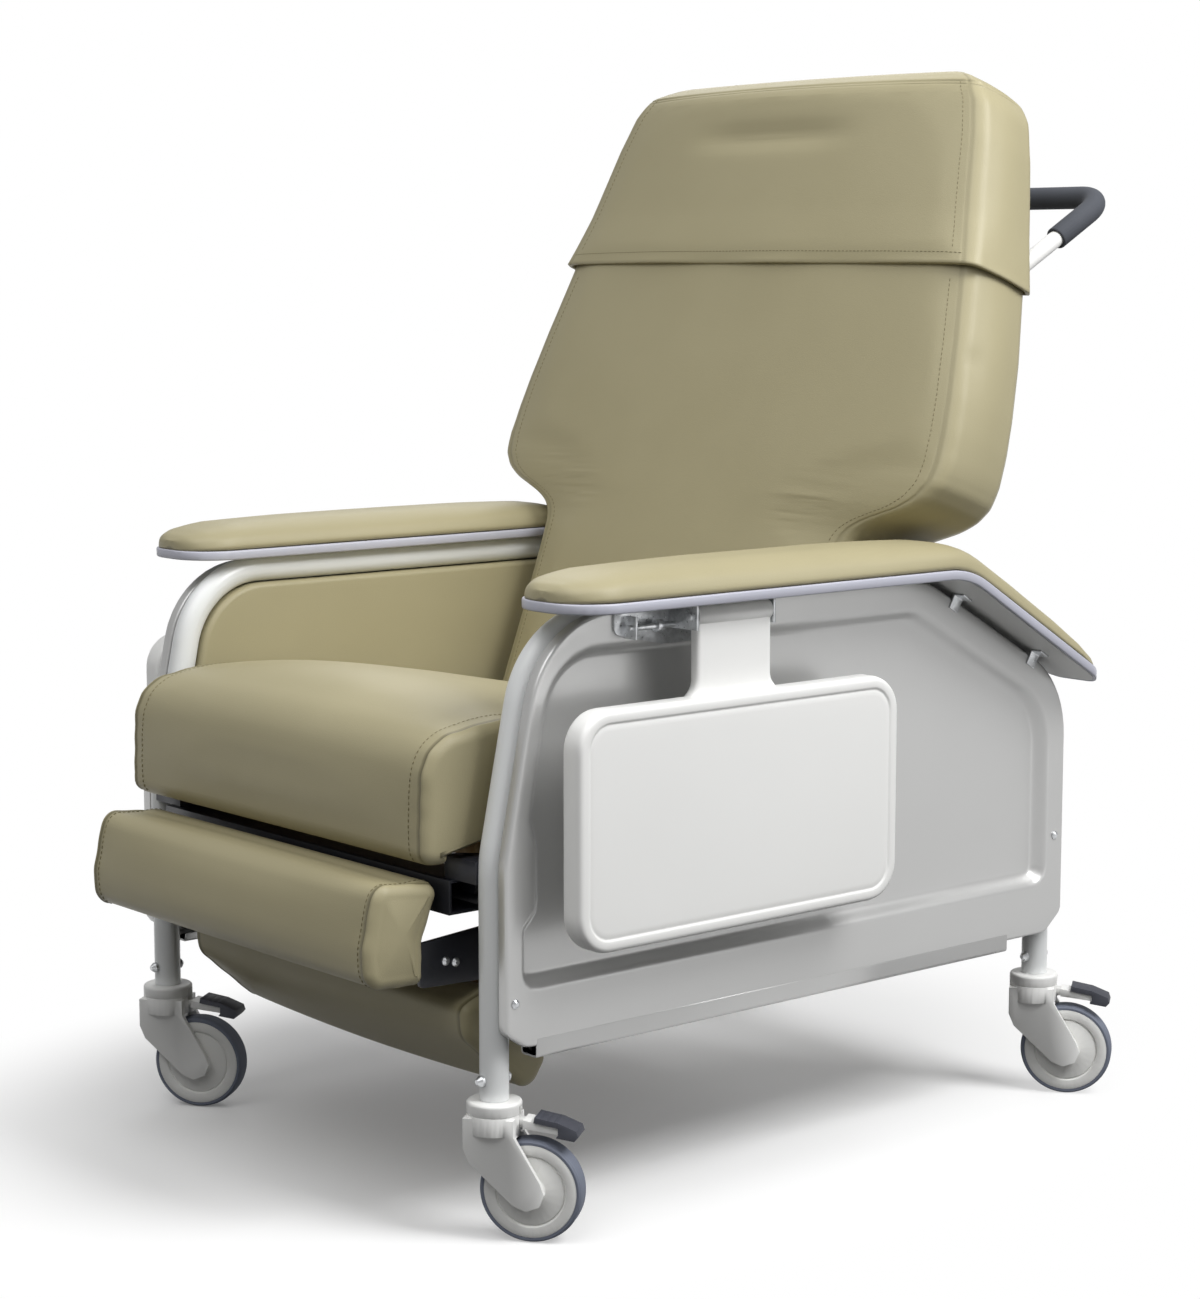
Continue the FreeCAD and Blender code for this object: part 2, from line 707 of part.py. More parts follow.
def seat_point(along, up):
    """Station and height of a point given along and above the deck's top front edge."""
    return (d("deck_front") + along * math.cos(pitch) + up * math.sin(pitch),
            d("deck_top") - along * math.sin(pitch) + up * math.cos(pitch))


def seat_box(name, x, wide, along, long, up, high):
    """Block set square to the pitched deck."""
    y, z = seat_point(along, up)
    block = box(name, (wide, long, high), (x, y, z), PITCH)
    return block


rail_mid = -d("deck_thick") - d("rail_high") / 2
rear_along = (d("leg_rear") - d("deck_front") - rail_mid * math.sin(pitch)) / math.cos(pitch)
rear_axis = seat_point(rear_along, rail_mid)


def seat_frame():
    """Two rails, front and rear cross tubes and the four lugs that carry them on the legs."""
    parts = []
    long = rear_along + 14 - 42
    for side_name, side in SIDES:
        x = "dims.rail_in" if side > 0 else "-dims.rail_in - dims.rail_wide"
        bar = seat_box(side_name + "_rail_bar", x, "dims.rail_wide", 42, long,
                       -d("deck_thick") - d("rail_high"), "dims.rail_high")
        hollow = seat_box(side_name + "_rail_bore", x + " + dims.rail_wall",
                          "dims.rail_wide - 2*dims.rail_wall", 60, long,
                          -d("deck_thick") - d("rail_high") + d("rail_wall"),
                          "dims.rail_high - 2*dims.rail_wall")
        parts.append(cut(side_name + "_rail", bar, hollow))
        lug_x = "dims.cross_half - 17" if side > 0 else "-dims.side_x + 8"
        lug = box(side_name + "_front_lug", ("dims.side_x - dims.cross_half + 9", "28", "22"),
                  (lug_x, "dims.leg_front - 15", "dims.cross_low + dims.cross_high"))
        boss_x = "dims.rail_in + dims.rail_wide" if side > 0 else "-dims.side_x"
        boss = rod(side_name + "_rear_boss", 12, "dims.side_x - dims.rail_in - dims.rail_wide",
                   (boss_x, "dims.leg_rear", rear_axis[1]), "x")
        leg = feature(side_name + "_leg_space", swept(frame_path(side * d("side_x")), tube_radius))
        parts.append(cut(side_name + "_front_seat", lug, leg))
        leg = feature(side_name + "_rear_leg_space", swept(frame_path(side * d("side_x")), tube_radius))
        parts.append(cut(side_name + "_rear_seat", boss, leg))
    outer = box("cross_outer", ("2*dims.cross_half", "dims.cross_wide", "dims.cross_high"),
                ("-dims.cross_half", "dims.cross_front", "dims.cross_low"))
    bore = box("cross_bore", ("2*dims.cross_half + 2", "dims.cross_wide - 6", "dims.cross_high - 6"),
               ("-dims.cross_half - 1", "dims.cross_front + 3", "dims.cross_low + 3"))
    parts.append(cut("front_cross", outer, bore))
    rear = rod("rear_outer", "dims.cross_od/2", "2*dims.rail_in + 2",
               ("-dims.rail_in - 1", "dims.leg_rear", rear_axis[1]), "x")
    rear_bore = rod("rear_bore", "dims.cross_od/2 - 2", "2*dims.rail_in + 2",
                    ("-dims.rail_in - 1", "dims.leg_rear", rear_axis[1]), "x")
    parts.append(cut("rear_cross", rear, rear_bore))
    return fuse("seat_weldment", *parts)


def seat_cushion():
    """Cushion lofted across the chair: crowned top, front roll hung before the deck, boxed ends."""
    deck_y, deck_z = seat_point(0, 0)
    rear_low = seat_point(d("deck_long") - 2, 0)
    crest = d("seat_crest")
    roll_rear = deck_y - 3

    def section(x, draw_in, crown):
        outline = [
            (d("seat_front"), d("seat_roll_low"), 19), (roll_rear, d("seat_roll_low"), 8),
            (roll_rear, deck_z + 1.5, 0.8), (rear_low[0] - 2, rear_low[1] + 0.5, 8),
            (rear_low[0] + 32, crest - 63 + 0.5 * crown, 24), (-350, crest + crown, 150),
            (d("seat_front") + 4, crest - 14 + 0.3 * crown, 48),
        ]
        return side_wire(inset(outline, draw_in), x)

    half, crown = d("seat_half"), d("seat_crown")
    rows = [(half, 9, 0), (half - 5, 2, 0), (half - 14, 0, 0.1 * crown)]
    rows = rows + [(share * half, 0, crown * (1 - share * share)) for share in (0.85, 0.7, 0.5, 0.25, 0)]
    rows = rows + [(-x, draw_in, rise) for x, draw_in, rise in rows[-2::-1]]
    return loft([section(*row) for row in rows], True)


place(node(seat_frame(), "seat_frame"))
deck = seat_box("deck_board", "-dims.deck_half", "2*dims.deck_half", 0, "dims.deck_long", -d("deck_thick"),
                "dims.deck_thick")
place(node(group("deck", deck), "seat_deck"))
place(node(feature("seat_form", seat_cushion()), "seat_cushion"))


# Back: uprights on two pivots, board, winged cushion, slip cover, push handle and grip

LEAN = FreeCAD.Rotation(UNIT_X, -d("back_lean"))
back_lean = math.radians(d("back_lean"))
board_at = d("back_thick")
upright_at = board_at + d("board_thick")
pivot_depth = upright_at + d("upright_deep") / 2


def back_point(level, depth):
    """Station and height of a point given along and behind the back's front plane."""
    return (d("back_y") + level * math.sin(back_lean) + depth * math.cos(back_lean),
            d("back_z") + level * math.cos(back_lean) - depth * math.sin(back_lean))


def on_back(piece, label):
    """Register a piece drawn in the back's own frame and lean it."""
    node(piece, label)
    return place(piece, y="dims.back_y", z="dims.back_z", rotation=LEAN)


def back_section(level, half, front, crown, rear):
    """Level section: crowned front arc, drawn-in sides and a flat arc behind."""
    points = [V(-half + 5, front, level), V(half - 5, front, level),
              V(half - 7, rear - 5, level), V(-half + 7, rear - 5, level)]
    middle = (front + rear) / 2
    return Part.Wire([
        Part.Arc(points[0], V(0, front - crown, level), points[1]).toShape(),
        Part.Arc(points[1], V(half, middle, level), points[2]).toShape(),
        Part.Arc(points[2], V(0, rear, level), points[3]).toShape(),
        Part.Arc(points[3], V(-half, middle, level), points[0]).toShape(),
    ])


narrow, wing, head = d("back_narrow"), d("back_wing"), d("back_head")
crown, thick = d("back_crown"), d("back_thick")
flare = wing - narrow
head_depth = thick - 16
lower_rows = [(d("back_bottom"), narrow - 6, 12, 4, thick - 6), (d("back_bottom") + 14, narrow, 6, 8,
                                                                 thick),
              (-230, narrow, 6, crown, thick), (-112, narrow, 6, crown, thick)]
flare_rows = [(-112, narrow, 6, crown, thick), (-98, narrow + 0.03 * flare, 6, crown, thick),
              (-88, narrow + 0.14 * flare, 6, crown, thick), (-78, narrow + 0.36 * flare, 6, crown, thick),
              (-68, narrow + 0.66 * flare, 6, crown, thick), (-54, narrow + 0.86 * flare, 6, crown, thick),
              (-34, narrow + 0.97 * flare, 6, crown, thick), (-8, wing, 6, crown, thick)]
hem = d("hem_level")
taper = (wing - head) / 393
upper_rows = [(-8, wing, 6, crown, thick), (60, wing - 6, 6, crown, thick),
              (130, wing - 20, 6, crown, thick),
              (hem, wing - taper * hem + 8, 6, crown, thick - 2), (290, wing - taper * 290 + 6, 6, crown,
                                                                   thick - 8),
              (360, wing - taper * 360 + 3, 7, crown, head_depth), (d("back_top") - 32, head - 2, 10,
                                                                    crown - 2, head_depth - 2),
              (d("back_top") - 14, head - 18, 17, 12, head_depth - 8), (d("back_top") - 4, head - 42, 26,
                                                                        8, head_depth - 16),
              (d("back_top"), head - 72, 34, 4, head_depth - 24)]


def stretched(row, grow):
    """Section row swollen all round by the cover's thickness."""
    level, half, front, rise, rear = row
    return level, half + grow, front - grow, rise, rear + grow


def back_cushion():
    """Narrow lower part, flared wings and tapered head in one solid."""
    lower = loft([back_section(*row) for row in lower_rows], True)
    flared = loft([back_section(*row) for row in flare_rows], True)
    upper = loft([back_section(*row) for row in upper_rows], True)
    return lower.fuse([flared, upper]).removeSplitter()


def head_cover(cushion):
    """Slip cover drawn over the head end, open at the hem."""
    grow = d("cover_thick")
    rows = [stretched(row, grow) for row in upper_rows if row[0] >= hem]
    last = rows[-1]
    rows.append((last[0] + grow, last[1] - 12, last[2] + 8, 3, last[4] - 8))
    return loft([back_section(*row) for row in rows], True).cut(cushion)


cushion = back_cushion()
on_back(feature("back_form", cushion), "back_cushion")
on_back(feature("cover_form", head_cover(cushion)), "head_cover")

back_plate = prism("back_plate", "XZ_Plane", [
    ("-dims.plate_in + 5", "dims.back_bottom + 20"), ("dims.plate_in - 5", "dims.back_bottom + 20"),
    ("dims.plate_in - 5", "-70"), ("dims.back_wing - 33", "-20"), ("dims.back_wing - 33", "60"),
    ("dims.back_wing - 65", "dims.hem_level - 8"), ("-dims.back_wing + 65", "dims.hem_level - 8"),
    ("-dims.back_wing + 33", "60"), ("-dims.back_wing + 33", "-20"), ("-dims.plate_in + 5", "-70")],
                   "dims.board_thick", False)
back_plate_group = group("back_plate_set", back_plate)
back_plate.Placement = FreeCAD.Placement(V(0, board_at + d("board_thick"), 0), FreeCAD.Rotation())
on_back(back_plate_group, "back_board")

uprights = []
for side_name, side in SIDES:
    x = "dims.upright_x - dims.upright_wide/2" if side > 0 else "-dims.upright_x - dims.upright_wide/2"
    bar = box(side_name + "_upright_bar", ("dims.upright_wide", "dims.upright_deep",
                                           "dims.upright_top - dims.pivot_level + 25"),
              (x, "dims.back_thick + dims.board_thick", "dims.pivot_level - 25"))
    hole = rod(side_name + "_upright_bore", "dims.pivot_pin/2 + dims.running_gap", "dims.upright_wide + 2",
               (x + " - 1", "dims.back_thick + dims.board_thick + dims.upright_deep/2",
                "dims.pivot_level"), "x")
    uprights.append(cut(side_name + "_upright", bar, hole))
on_back(group("upright_pair", *uprights), "back_uprights")


def handle_path(half, first, leg):
    """U-shaped axis of the push handle, or of its grip when the leg is cut short."""
    corner = V(half, d("handle_y"), d("handle_z"))
    base = back_point(d("upright_top"), pivot_depth)
    knee = back_point(d("upright_top") + 40, pivot_depth)
    knee_point = V(half, knee[0], knee[1])
    toward = (knee_point - corner).normalize()
    start = [(V(half, base[0], base[1]), 0), (knee_point, 40)] if first else [(corner + toward * leg, 0)]
    arm = start + [(corner, d("handle_bend"))]
    return arm + [(V(-p.x, p.y, p.z), r) for p, r in reversed(arm)]


handle = swept(handle_path(d("upright_x"), True, 0), d("handle_od") / 2)
place(node(feature("handle_tube", handle), "push_handle"))
grip_path = handle_path(d("upright_x"), False, d("grip_leg"))
grip = swept(grip_path, d("grip_od") / 2).cut(swept(grip_path, d("handle_od") / 2))
place(node(feature("grip_foam", grip), "push_grip"))

pivot_y, pivot_z = back_point(d("pivot_level"), pivot_depth)


def pivot_plate(side):
    """Plate that stands on the seat rail and holds the recline pin."""
    foot = []
    for reach in (-44, 44):
        along = (pivot_y + reach - d("deck_front") + d("deck_thick") * math.sin(pitch)) / math.cos(pitch)
        foot.append(seat_point(along, -d("deck_thick")))
    outline = [(foot[0][0], foot[0][1], 0), (foot[1][0], foot[1][1], 0), (pivot_y + 18, pivot_z + 18, 17),
               (pivot_y - 18, pivot_z + 18, 17)]
    plate = Part.Face(side_wire(outline, d("plate_in"))).extrude(V(d("plate_thick"), 0, 0))
    pin_start = d("upright_x") - d("upright_wide") / 2 - 4
    pin = Part.makeCylinder(d("pivot_pin") / 2, d("plate_in") + d("plate_thick") - pin_start,
                            V(pin_start, pivot_y, pivot_z), UNIT_X)
    return mirrored(plate.fuse(pin).removeSplitter(), side)


plates = Part.makeCompound([pivot_plate(side) for _, side in SIDES])
place(node(feature("pivot_pair", plates), "back_pivot_plates"))


# Leg rest: two slide bars in sleeves, a swinging frame, bolster, foot pad and its board

sleeves = []
bars = []
for side_name, side in SIDES:
    axis = "%d*dims.slide_x" % side
    shell = box(side_name + "_sleeve_shell", ("dims.slide_sleeve", "dims.sleeve_rear - dims.sleeve_front",
                                              "dims.slide_high"),
                (axis + " - dims.slide_sleeve/2", "dims.sleeve_front", "dims.slide_z - dims.slide_high/2"))
    bore = box(side_name + "_sleeve_bore", ("dims.slide_sleeve - 2*dims.slide_wall",
                                            "dims.sleeve_rear - dims.sleeve_front + 2",
               "dims.slide_high - 2*dims.slide_wall"), (axis + " - dims.slide_sleeve/2 + dims.slide_wall",
               "dims.sleeve_front - 1", "dims.slide_z - dims.slide_high/2 + dims.slide_wall"))
    sleeves.append(cut(side_name + "_sleeve", shell, bore))
    inner = "dims.slide_wall + dims.slide_gap"
    bar = box(side_name + "_bar_block", ("dims.slide_sleeve - 2*(%s)" % inner,
                                         "dims.bar_rear - dims.swing_y + dims.swing_eye",
              "dims.slide_high - 2*(%s)" % inner), (axis + " - dims.slide_sleeve/2 + " + inner,
              "dims.swing_y - dims.swing_eye", "dims.slide_z - dims.slide_high/2 + " + inner))
    eye = rod(side_name + "_bar_eye", "dims.swing_pin/2 + dims.running_gap", "dims.slide_sleeve",
              (axis + " - dims.slide_sleeve/2", "dims.swing_y", "dims.slide_z"), "x")
    bars.append(cut(side_name + "_bar", bar, eye))
tie = box("bar_tie", ("2*dims.slide_x", "20", "8"), ("-dims.slide_x", "dims.bar_rear - 20",
                                                     "dims.slide_z - 4"))
place(node(group("sleeve_pair", *sleeves), "slide_sleeves"))
place(node(fuse("carriage", tie, *bars), "legrest_carriage"))

foot_slope = math.radians(d("foot_slope"))
foot_run = V(-math.cos(foot_slope), math.sin(foot_slope), 0)
foot_out = V(foot_run.y, -foot_run.x, 0)
BAR_THICK = 6


def foot_rear(along, out):
    """Point on or behind the foot pad's rear face."""
    point = V(d("foot_y"), d("foot_z"), 0) + foot_run * along + foot_out * out
    return point.x, point.y


def legrest_frame():
    """Two swing plates with their pins, tied by a flat bar behind the bolster."""
    face = d("bolster_rear") + BAR_THICK
    eye = d("swing_eye")
    tail_low, tail_high = foot_rear(36, 3), foot_rear(113, 2.5)
    outline = [(face, d("bolster_low") - 6, 4), (tail_high[0], tail_high[1], 0),
               (tail_low[0], tail_low[1], 4),
               (tail_low[0] + 13, tail_low[1] + 11, 4), (d("swing_y") + eye, d("slide_z") + eye, eye - 1),
               (d("swing_y") - 6, d("slide_z") + eye, 4), (d("swing_y") - 50, d("slide_z") - 10, 8),
               (face, d("bolster_low") + 38, 4)]
    plate = Part.Face(side_wire(outline, d("leg_plate_in"))).extrude(V(d("leg_plate"), 0, 0))
    pin_start = d("slide_x") - d("slide_sleeve") / 2 + d("slide_wall")
    pin = Part.makeCylinder(d("swing_pin") / 2, d("leg_plate_in") + d("leg_plate") - pin_start,
                            V(pin_start, d("swing_y"), d("slide_z")), UNIT_X)
    half = plate.fuse(pin)
    reach = d("leg_plate_in") + d("leg_plate")
    bar = Part.makeBox(2 * reach, BAR_THICK, 26, V(-reach, d("bolster_rear"), d("bolster_low") + 10))
    return bar.fuse([half, mirrored(half, -1)]).removeSplitter()


def bolster():
    """Rounded roll with crowned front and boxed ends."""
    low, high = d("bolster_low"), d("bolster_high")
    front, rear = d("bolster_front"), d("bolster_rear")

    def section(x, draw_in, swell):
        outline = [(front + 5 - swell, low + 3, 22), (rear, low, 12), (rear, low + 44, 30),
                   (rear + 22, high - 10, 14), (front + 15, high, 22), (front - swell, low + 40, 60)]
        return side_wire(inset(outline, draw_in), x)

    half = d("bolster_half")
    rows = [(half, 9, 0), (half - 5, 2, 0), (half - 14, 0, 0), (0.6 * half, 0, 2), (0, 0, 3)]
    rows = rows + [(-x, draw_in, swell) for x, draw_in, swell in rows[-2::-1]]
    return loft([section(*row) for row in rows], True)


def foot_pad():
    """Rounded pad slung below the bolster, lower corners cut to a large radius."""
    long, thick = d("foot_long"), d("foot_thick")
    corners = [(long + 0.25 * thick, -0.67 * thick, 16), (long - 0.13 * thick, -thick, 34),
               (-0.24 * thick, -0.75 * thick, 22), (0, 0, 18), (long, 0, 18)]
    outline = [foot_rear(along, out) + (radius,) for along, out, radius in corners]
    half = d("foot_half")
    rows = [(half, 9, 0), (half - 5, 2, 0), (half - 14, 0, 0), (0, 0, 0)]
    rows = rows + [(-x, draw_in, swell) for x, draw_in, swell in rows[-2::-1]]
    roll = loft([side_wire(inset(outline, draw_in), x) for x, draw_in, _ in rows], True)
    corner = d("foot_corner")
    room = roll.BoundBox
    low, high, front = room.ZMin - 0.5, room.ZMax + 5, room.YMin - 5
    blank = rounded_wire([(V(-half - 2, front, low), corner), (V(half + 2, front, low), corner),
                          (V(half + 2, front, high), 0), (V(-half - 2, front, high), 0)])
    return roll.common(Part.Face(blank).extrude(V(0, room.YLength + 10, 0)))


place(node(feature("swing_frame", legrest_frame()), "legrest_frame"))
place(node(feature("bolster_form", bolster()), "legrest_bolster"))
place(node(feature("foot_form", foot_pad()), "footrest_pad"))
board_points = [foot_rear(18, 0.3), foot_rear(18, 8), foot_rear(95, 8), foot_rear(95, 0.3)]
foot_board = Part.Face(Part.makePolygon([V(-d("leg_plate_in"), y, z) for y,
                                         z in board_points + board_points[:1]]))
place(node(feature("foot_board", foot_board.extrude(V(2 * d("leg_plate_in"), 0, 0))), "footrest_board"))


def dome(centre, direction, radius, high):
    """Domed screw head on a face."""
    base = Part.makeCylinder(radius, high * 0.4, centre, direction)
    cap = Part.makeCone(radius, radius * 0.45, high * 0.6, centre + direction * (high * 0.4), direction)
    return base.fuse(cap).removeSplitter()


screws = []
for side_name, side in SIDES:
    for station, level in ((-400, 263), (-388, 260)):
        head_at = V(side * (d("leg_plate_in") + d("leg_plate")), station, level)
        screws.append(dome(head_at, V(side, 0, 0), 4.5, 4))
place(node(feature("plate_heads", Part.makeCompound(screws)), "legrest_screws"))

rivets = []
for side_name, side in SIDES:
    front_rim = (panel_outline[-1][0] + recess_front) / 2
    rear_rim = (panel_outline[2][0] + recess_rear) / 2
    for station, level in ((rear_rim, 300), (front_rim, 236)):
        rivets.append(dome(V(side * panel_out, station, level), V(side, 0, 0), 4.5, 3))
place(node(feature("rim_heads", Part.makeCompound(rivets)), "panel_screws"))


# Casters: stem in each leg, swivel housing with axle, wheel, tyre, brake pedal and its tread

CASTERS = [("front_left", 1, "leg_front"), ("front_right", -1, "leg_front"),
           ("rear_left", 1, "leg_rear"), ("rear_right", -1, "leg_rear")]
PARK = FreeCAD.Rotation(UNIT_Z, d("trail_turn"))
stems = []
bolts = []
for caster, side, leg in CASTERS:
    x, y = side * d("side_x"), d(leg)
    plug = Part.makeCylinder(bore_radius, 78, V(x, y, d("leg_foot")))
    neck = Part.makeCylinder(d("stem_radius"), d("leg_foot") - d("collar_low") - 4,
                             V(x, y, d("collar_low") + 4))
    across = V(x, y - tube_radius - 2, d("bolt_level"))
    bore = Part.makeCylinder(d("bolt_radius"), d("tube_od") + 4, across, UNIT_Y)
    stems.append(plug.fuse(neck).cut(bore).removeSplitter())
    shank = Part.makeCylinder(d("bolt_radius"), d("tube_od") + 1,
                              V(x, y - tube_radius - 0.5, d("bolt_level")), UNIT_Y)
    front_head = dome(V(x, y - tube_radius - 0.2, d("bolt_level")), V(0, -1, 0), 5.5, 7)
    rear_head = dome(V(x, y + tube_radius + 0.2, d("bolt_level")), UNIT_Y, 5.5, 5)
    bolts.append(shank.fuse([front_head, rear_head]).removeSplitter())
place(node(feature("stem_set", Part.makeCompound(stems)), "caster_stems"))
place(node(feature("bolt_set", Part.makeCompound(bolts)), "leg_bolts"))

PEDAL_X, PEDAL_Z = 21, 115


def caster_housing(name):
    """Swivel housing: round collar, raked cheeks, wheel clearance, stem bore, axle and pedal pin."""
    top = "dims.leg_foot - dims.seat_clear"
    cheek = prism(name + "_cheeks", "XZ_Plane", [
        ("-dims.collar_radius + 1", "dims.collar_low + 16"), ("-dims.collar_radius + 1", "92"), ("-20",
                                                                                                 "78"),
        ("dims.trail - 15", "dims.wheel_radius - 12"), ("dims.trail - 2", "dims.wheel_radius - 17"),
        ("dims.trail + 11", "dims.wheel_radius - 12"), ("dims.trail + 16", "dims.wheel_radius"),
        ("dims.trail + 12", "dims.wheel_radius + 11"), ("dims.collar_radius - 3", "dims.collar_low"),
        ("dims.collar_radius - 3", "dims.collar_low + 16")], "dims.fork_wide")
    collar = rod(name + "_collar", "dims.collar_radius", "%s - dims.collar_low" % top,
                 (0, 0, "dims.collar_low"), "z")
    doc.recompute()
    eased = doc.addObject("Part::Fillet", name + "_collar_eased")
    eased.Base = collar
    rim = [i + 1 for i, e in enumerate(collar.Shape.Edges) if e.BoundBox.ZMin > d("leg_foot") - 2]
    eased.Edges = [(i, 3, 3) for i in rim]
    well = rod(name + "_well", "dims.wheel_radius + 3.5", "dims.fork_gap",
               ("dims.trail", "-dims.fork_gap/2", "dims.wheel_radius"), "y")
    bore = rod(name + "_stem_bore", "dims.stem_radius + dims.running_gap", 60,
               (0, 0, "dims.leg_foot - 50"), "z")
    slot = box(name + "_pedal_slot", (40, "dims.pedal_wide/2 - 1", 30),
               (PEDAL_X - 8, "-dims.pedal_wide/4 + 0.5", PEDAL_Z - 12))
    seam = cut(name + "_seam", rod(name + "_seam_outer", "dims.collar_radius + 1", 1,
                                   (0, 0, "dims.leg_foot - 13"), "z"),
               rod(name + "_seam_inner", "dims.collar_radius - 0.8", 1, (0, 0, "dims.leg_foot - 13"), "z"))
    shell = cut(name + "_shell", fuse(name + "_mass", cheek, eased), well, bore, slot, seam)
    axle = rod(name + "_axle", "dims.axle_radius", "dims.fork_wide", ("dims.trail", "-dims.fork_wide/2",
                                                                      "dims.wheel_radius"), "y")
    pin = rod(name + "_pin", "dims.pedal_pin", "dims.pedal_wide/2 + 4", (PEDAL_X, "-dims.pedal_wide/4 - 2",
                                                                         PEDAL_Z), "y")
    return fuse(name + "_housing", shell, axle, pin)


def caster_pedal(name):
    """White pedal arm with a bored lug in the housing's slot."""
    arm = prism(name + "_arm", "XZ_Plane", [("31", "112.5"), ("66", "109"), ("66", "115.5"),
                                            ("31", "121")], "dims.pedal_wide - 4")
    lug = prism(name + "_lug", "XZ_Plane", [(PEDAL_X - 3, PEDAL_Z - 5), (34, "113"), (34, "120"),
                                            (PEDAL_X - 3, PEDAL_Z + 5)],
                "dims.pedal_wide/2 - 2")
    bore = rod(name + "_lug_bore", "dims.pedal_pin + dims.running_gap", "dims.pedal_wide",
               (PEDAL_X, "-dims.pedal_wide/2", PEDAL_Z), "y")
    return cut(name + "_pedal_arm", fuse(name + "_pedal_mass", arm, lug), bore)


def caster_tread(name):
    """Dark ribbed tread on the end of the pedal."""
    slab = prism(name + "_slab", "XZ_Plane", [
        ("42", "119.35"), ("66.05", "115.6"), ("66.05", "109"), ("64", "106"), ("82", "103.5"),
        ("86", "108"), ("84", "114"), ("66", "121"), ("43", "125")], "dims.pedal_wide")
    ribs = [rod("%s_rib_%d" % (name, i), 1.2, "dims.pedal_wide + 2", (48 + 7 * i, "-dims.pedal_wide/2 - 1",
                                                                      125.2 - 1.2 * i), "y")
            for i in range(3)]
    return cut(name + "_grooved", slab, *ribs)


def caster_wheel(name):
    """Wheel disc with rim ring, groove and hub boss, turned in one sketch."""
    body = doc.addObject("PartDesign::Body", name + "_disc")
    bore, outer, wide = "dims.axle_radius + dims.running_gap", "dims.hub_radius", "dims.hub_wide/2"
    profile = [(bore, "-" + wide), ("dims.axle_radius + 8", "-" + wide),
               ("dims.axle_radius + 9", "-%s + 2" % wide),
               ("0.72*dims.hub_radius", "-%s + 2" % wide), ("0.74*dims.hub_radius", "-%s + 4" % wide),
               ("0.77*dims.hub_radius", "-%s + 1" % wide), (outer, "-%s + 1" % wide),
               (outer, "%s - 1" % wide), ("0.77*dims.hub_radius", "%s - 1" % wide),
               ("0.74*dims.hub_radius", "%s - 4" % wide), ("0.72*dims.hub_radius", "%s - 2" % wide),
               ("dims.axle_radius + 9", "%s - 2" % wide), ("dims.axle_radius + 8", wide), (bore, wide)]
    revolve(body, polygon_sketch(body, name + "_profile", "XY_Plane", profile))
    return body


def caster_tyre(name):
    """Thin tyre with rounded shoulders."""
    body = doc.addObject("PartDesign::Body", name + "_band")
    wide = "dims.tyre_wide/2"
    profile = [("dims.hub_radius", "-" + wide), ("dims.wheel_radius - 2.5", "-" + wide),
               ("dims.wheel_radius - 0.7", "-%s + 2" % wide),
               ("dims.wheel_radius", "-%s + 5" % wide), ("dims.wheel_radius", "%s - 5" % wide),
               ("dims.wheel_radius - 0.7", "%s - 2" % wide), ("dims.wheel_radius - 2.5",
                                                              wide), ("dims.hub_radius", wide)]
    revolve(body, polygon_sketch(body, name + "_profile", "XY_Plane", profile))
    return body


def at_leg(piece, label, side, leg, along="0", lift="0"):
    """Register a caster piece at its leg, parked with the wheel trailing."""
    node(piece, label)
    turn = math.radians(d("trail_turn"))
    place(piece, "%d*dims.side_x + (%s)*%.9f" % (side, along, math.cos(turn)),
          "dims.%s + (%s)*%.9f" % (leg, along, math.sin(turn)), lift, PARK)


for caster, side, leg in CASTERS:
    at_leg(caster_housing(caster), caster + "_caster_housing", side, leg)
    at_leg(caster_pedal(caster), caster + "_caster_pedal", side, leg)
    at_leg(caster_tread(caster), caster + "_pedal_tread", side, leg)
    at_leg(caster_wheel(caster + "_wheel"), caster + "_caster_wheel", side, leg, "dims.trail",
           "dims.wheel_radius")
    at_leg(caster_tyre(caster + "_tyre"), caster + "_caster_tyre", side, leg, "dims.trail",
           "dims.wheel_radius")


# Build, test and write every piece

doc.recompute()
for obj in doc.Objects:
    if "Invalid" in obj.State or "Error" in obj.State:
        raise RuntimeError("%s did not build: %s" % (obj.Name, obj.State))
os.makedirs("parts", exist_ok=True)
for piece in nodes:
    shape = piece.Shape
    if shape.isNull() or not shape.isValid() or not shape.Solids:
        raise RuntimeError("%s is not a valid solid" % piece.Label)
    shape.exportStep("parts/%s.step" % piece.Label)
whole = Part.makeCompound([piece.Shape for piece in nodes]).BoundBox
print("%d pieces, X %.1f to %.1f, Y %.1f to %.1f, Z %.1f to %.1f" % (
    len(nodes), whole.XMin, whole.XMax, whole.YMin, whole.YMax, whole.ZMin, whole.ZMax))
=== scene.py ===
import math

import bmesh
import bpy
import numpy as np
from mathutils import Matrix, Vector


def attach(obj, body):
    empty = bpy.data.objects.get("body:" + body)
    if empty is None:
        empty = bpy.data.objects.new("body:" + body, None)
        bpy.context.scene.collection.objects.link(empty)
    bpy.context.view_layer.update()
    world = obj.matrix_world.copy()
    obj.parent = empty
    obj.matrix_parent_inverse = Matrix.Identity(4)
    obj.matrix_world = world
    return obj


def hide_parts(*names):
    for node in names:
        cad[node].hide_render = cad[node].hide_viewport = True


# Looks of the clinical recliner: padded vinyl, silver-painted steel, white mouldings and grey
# rubber. Shapes are worked out in millimetres on the chair's stations along Y, which are counted
# from the middle of the leg span, and then set SPAN_SHIFT forward of the origin in metres.

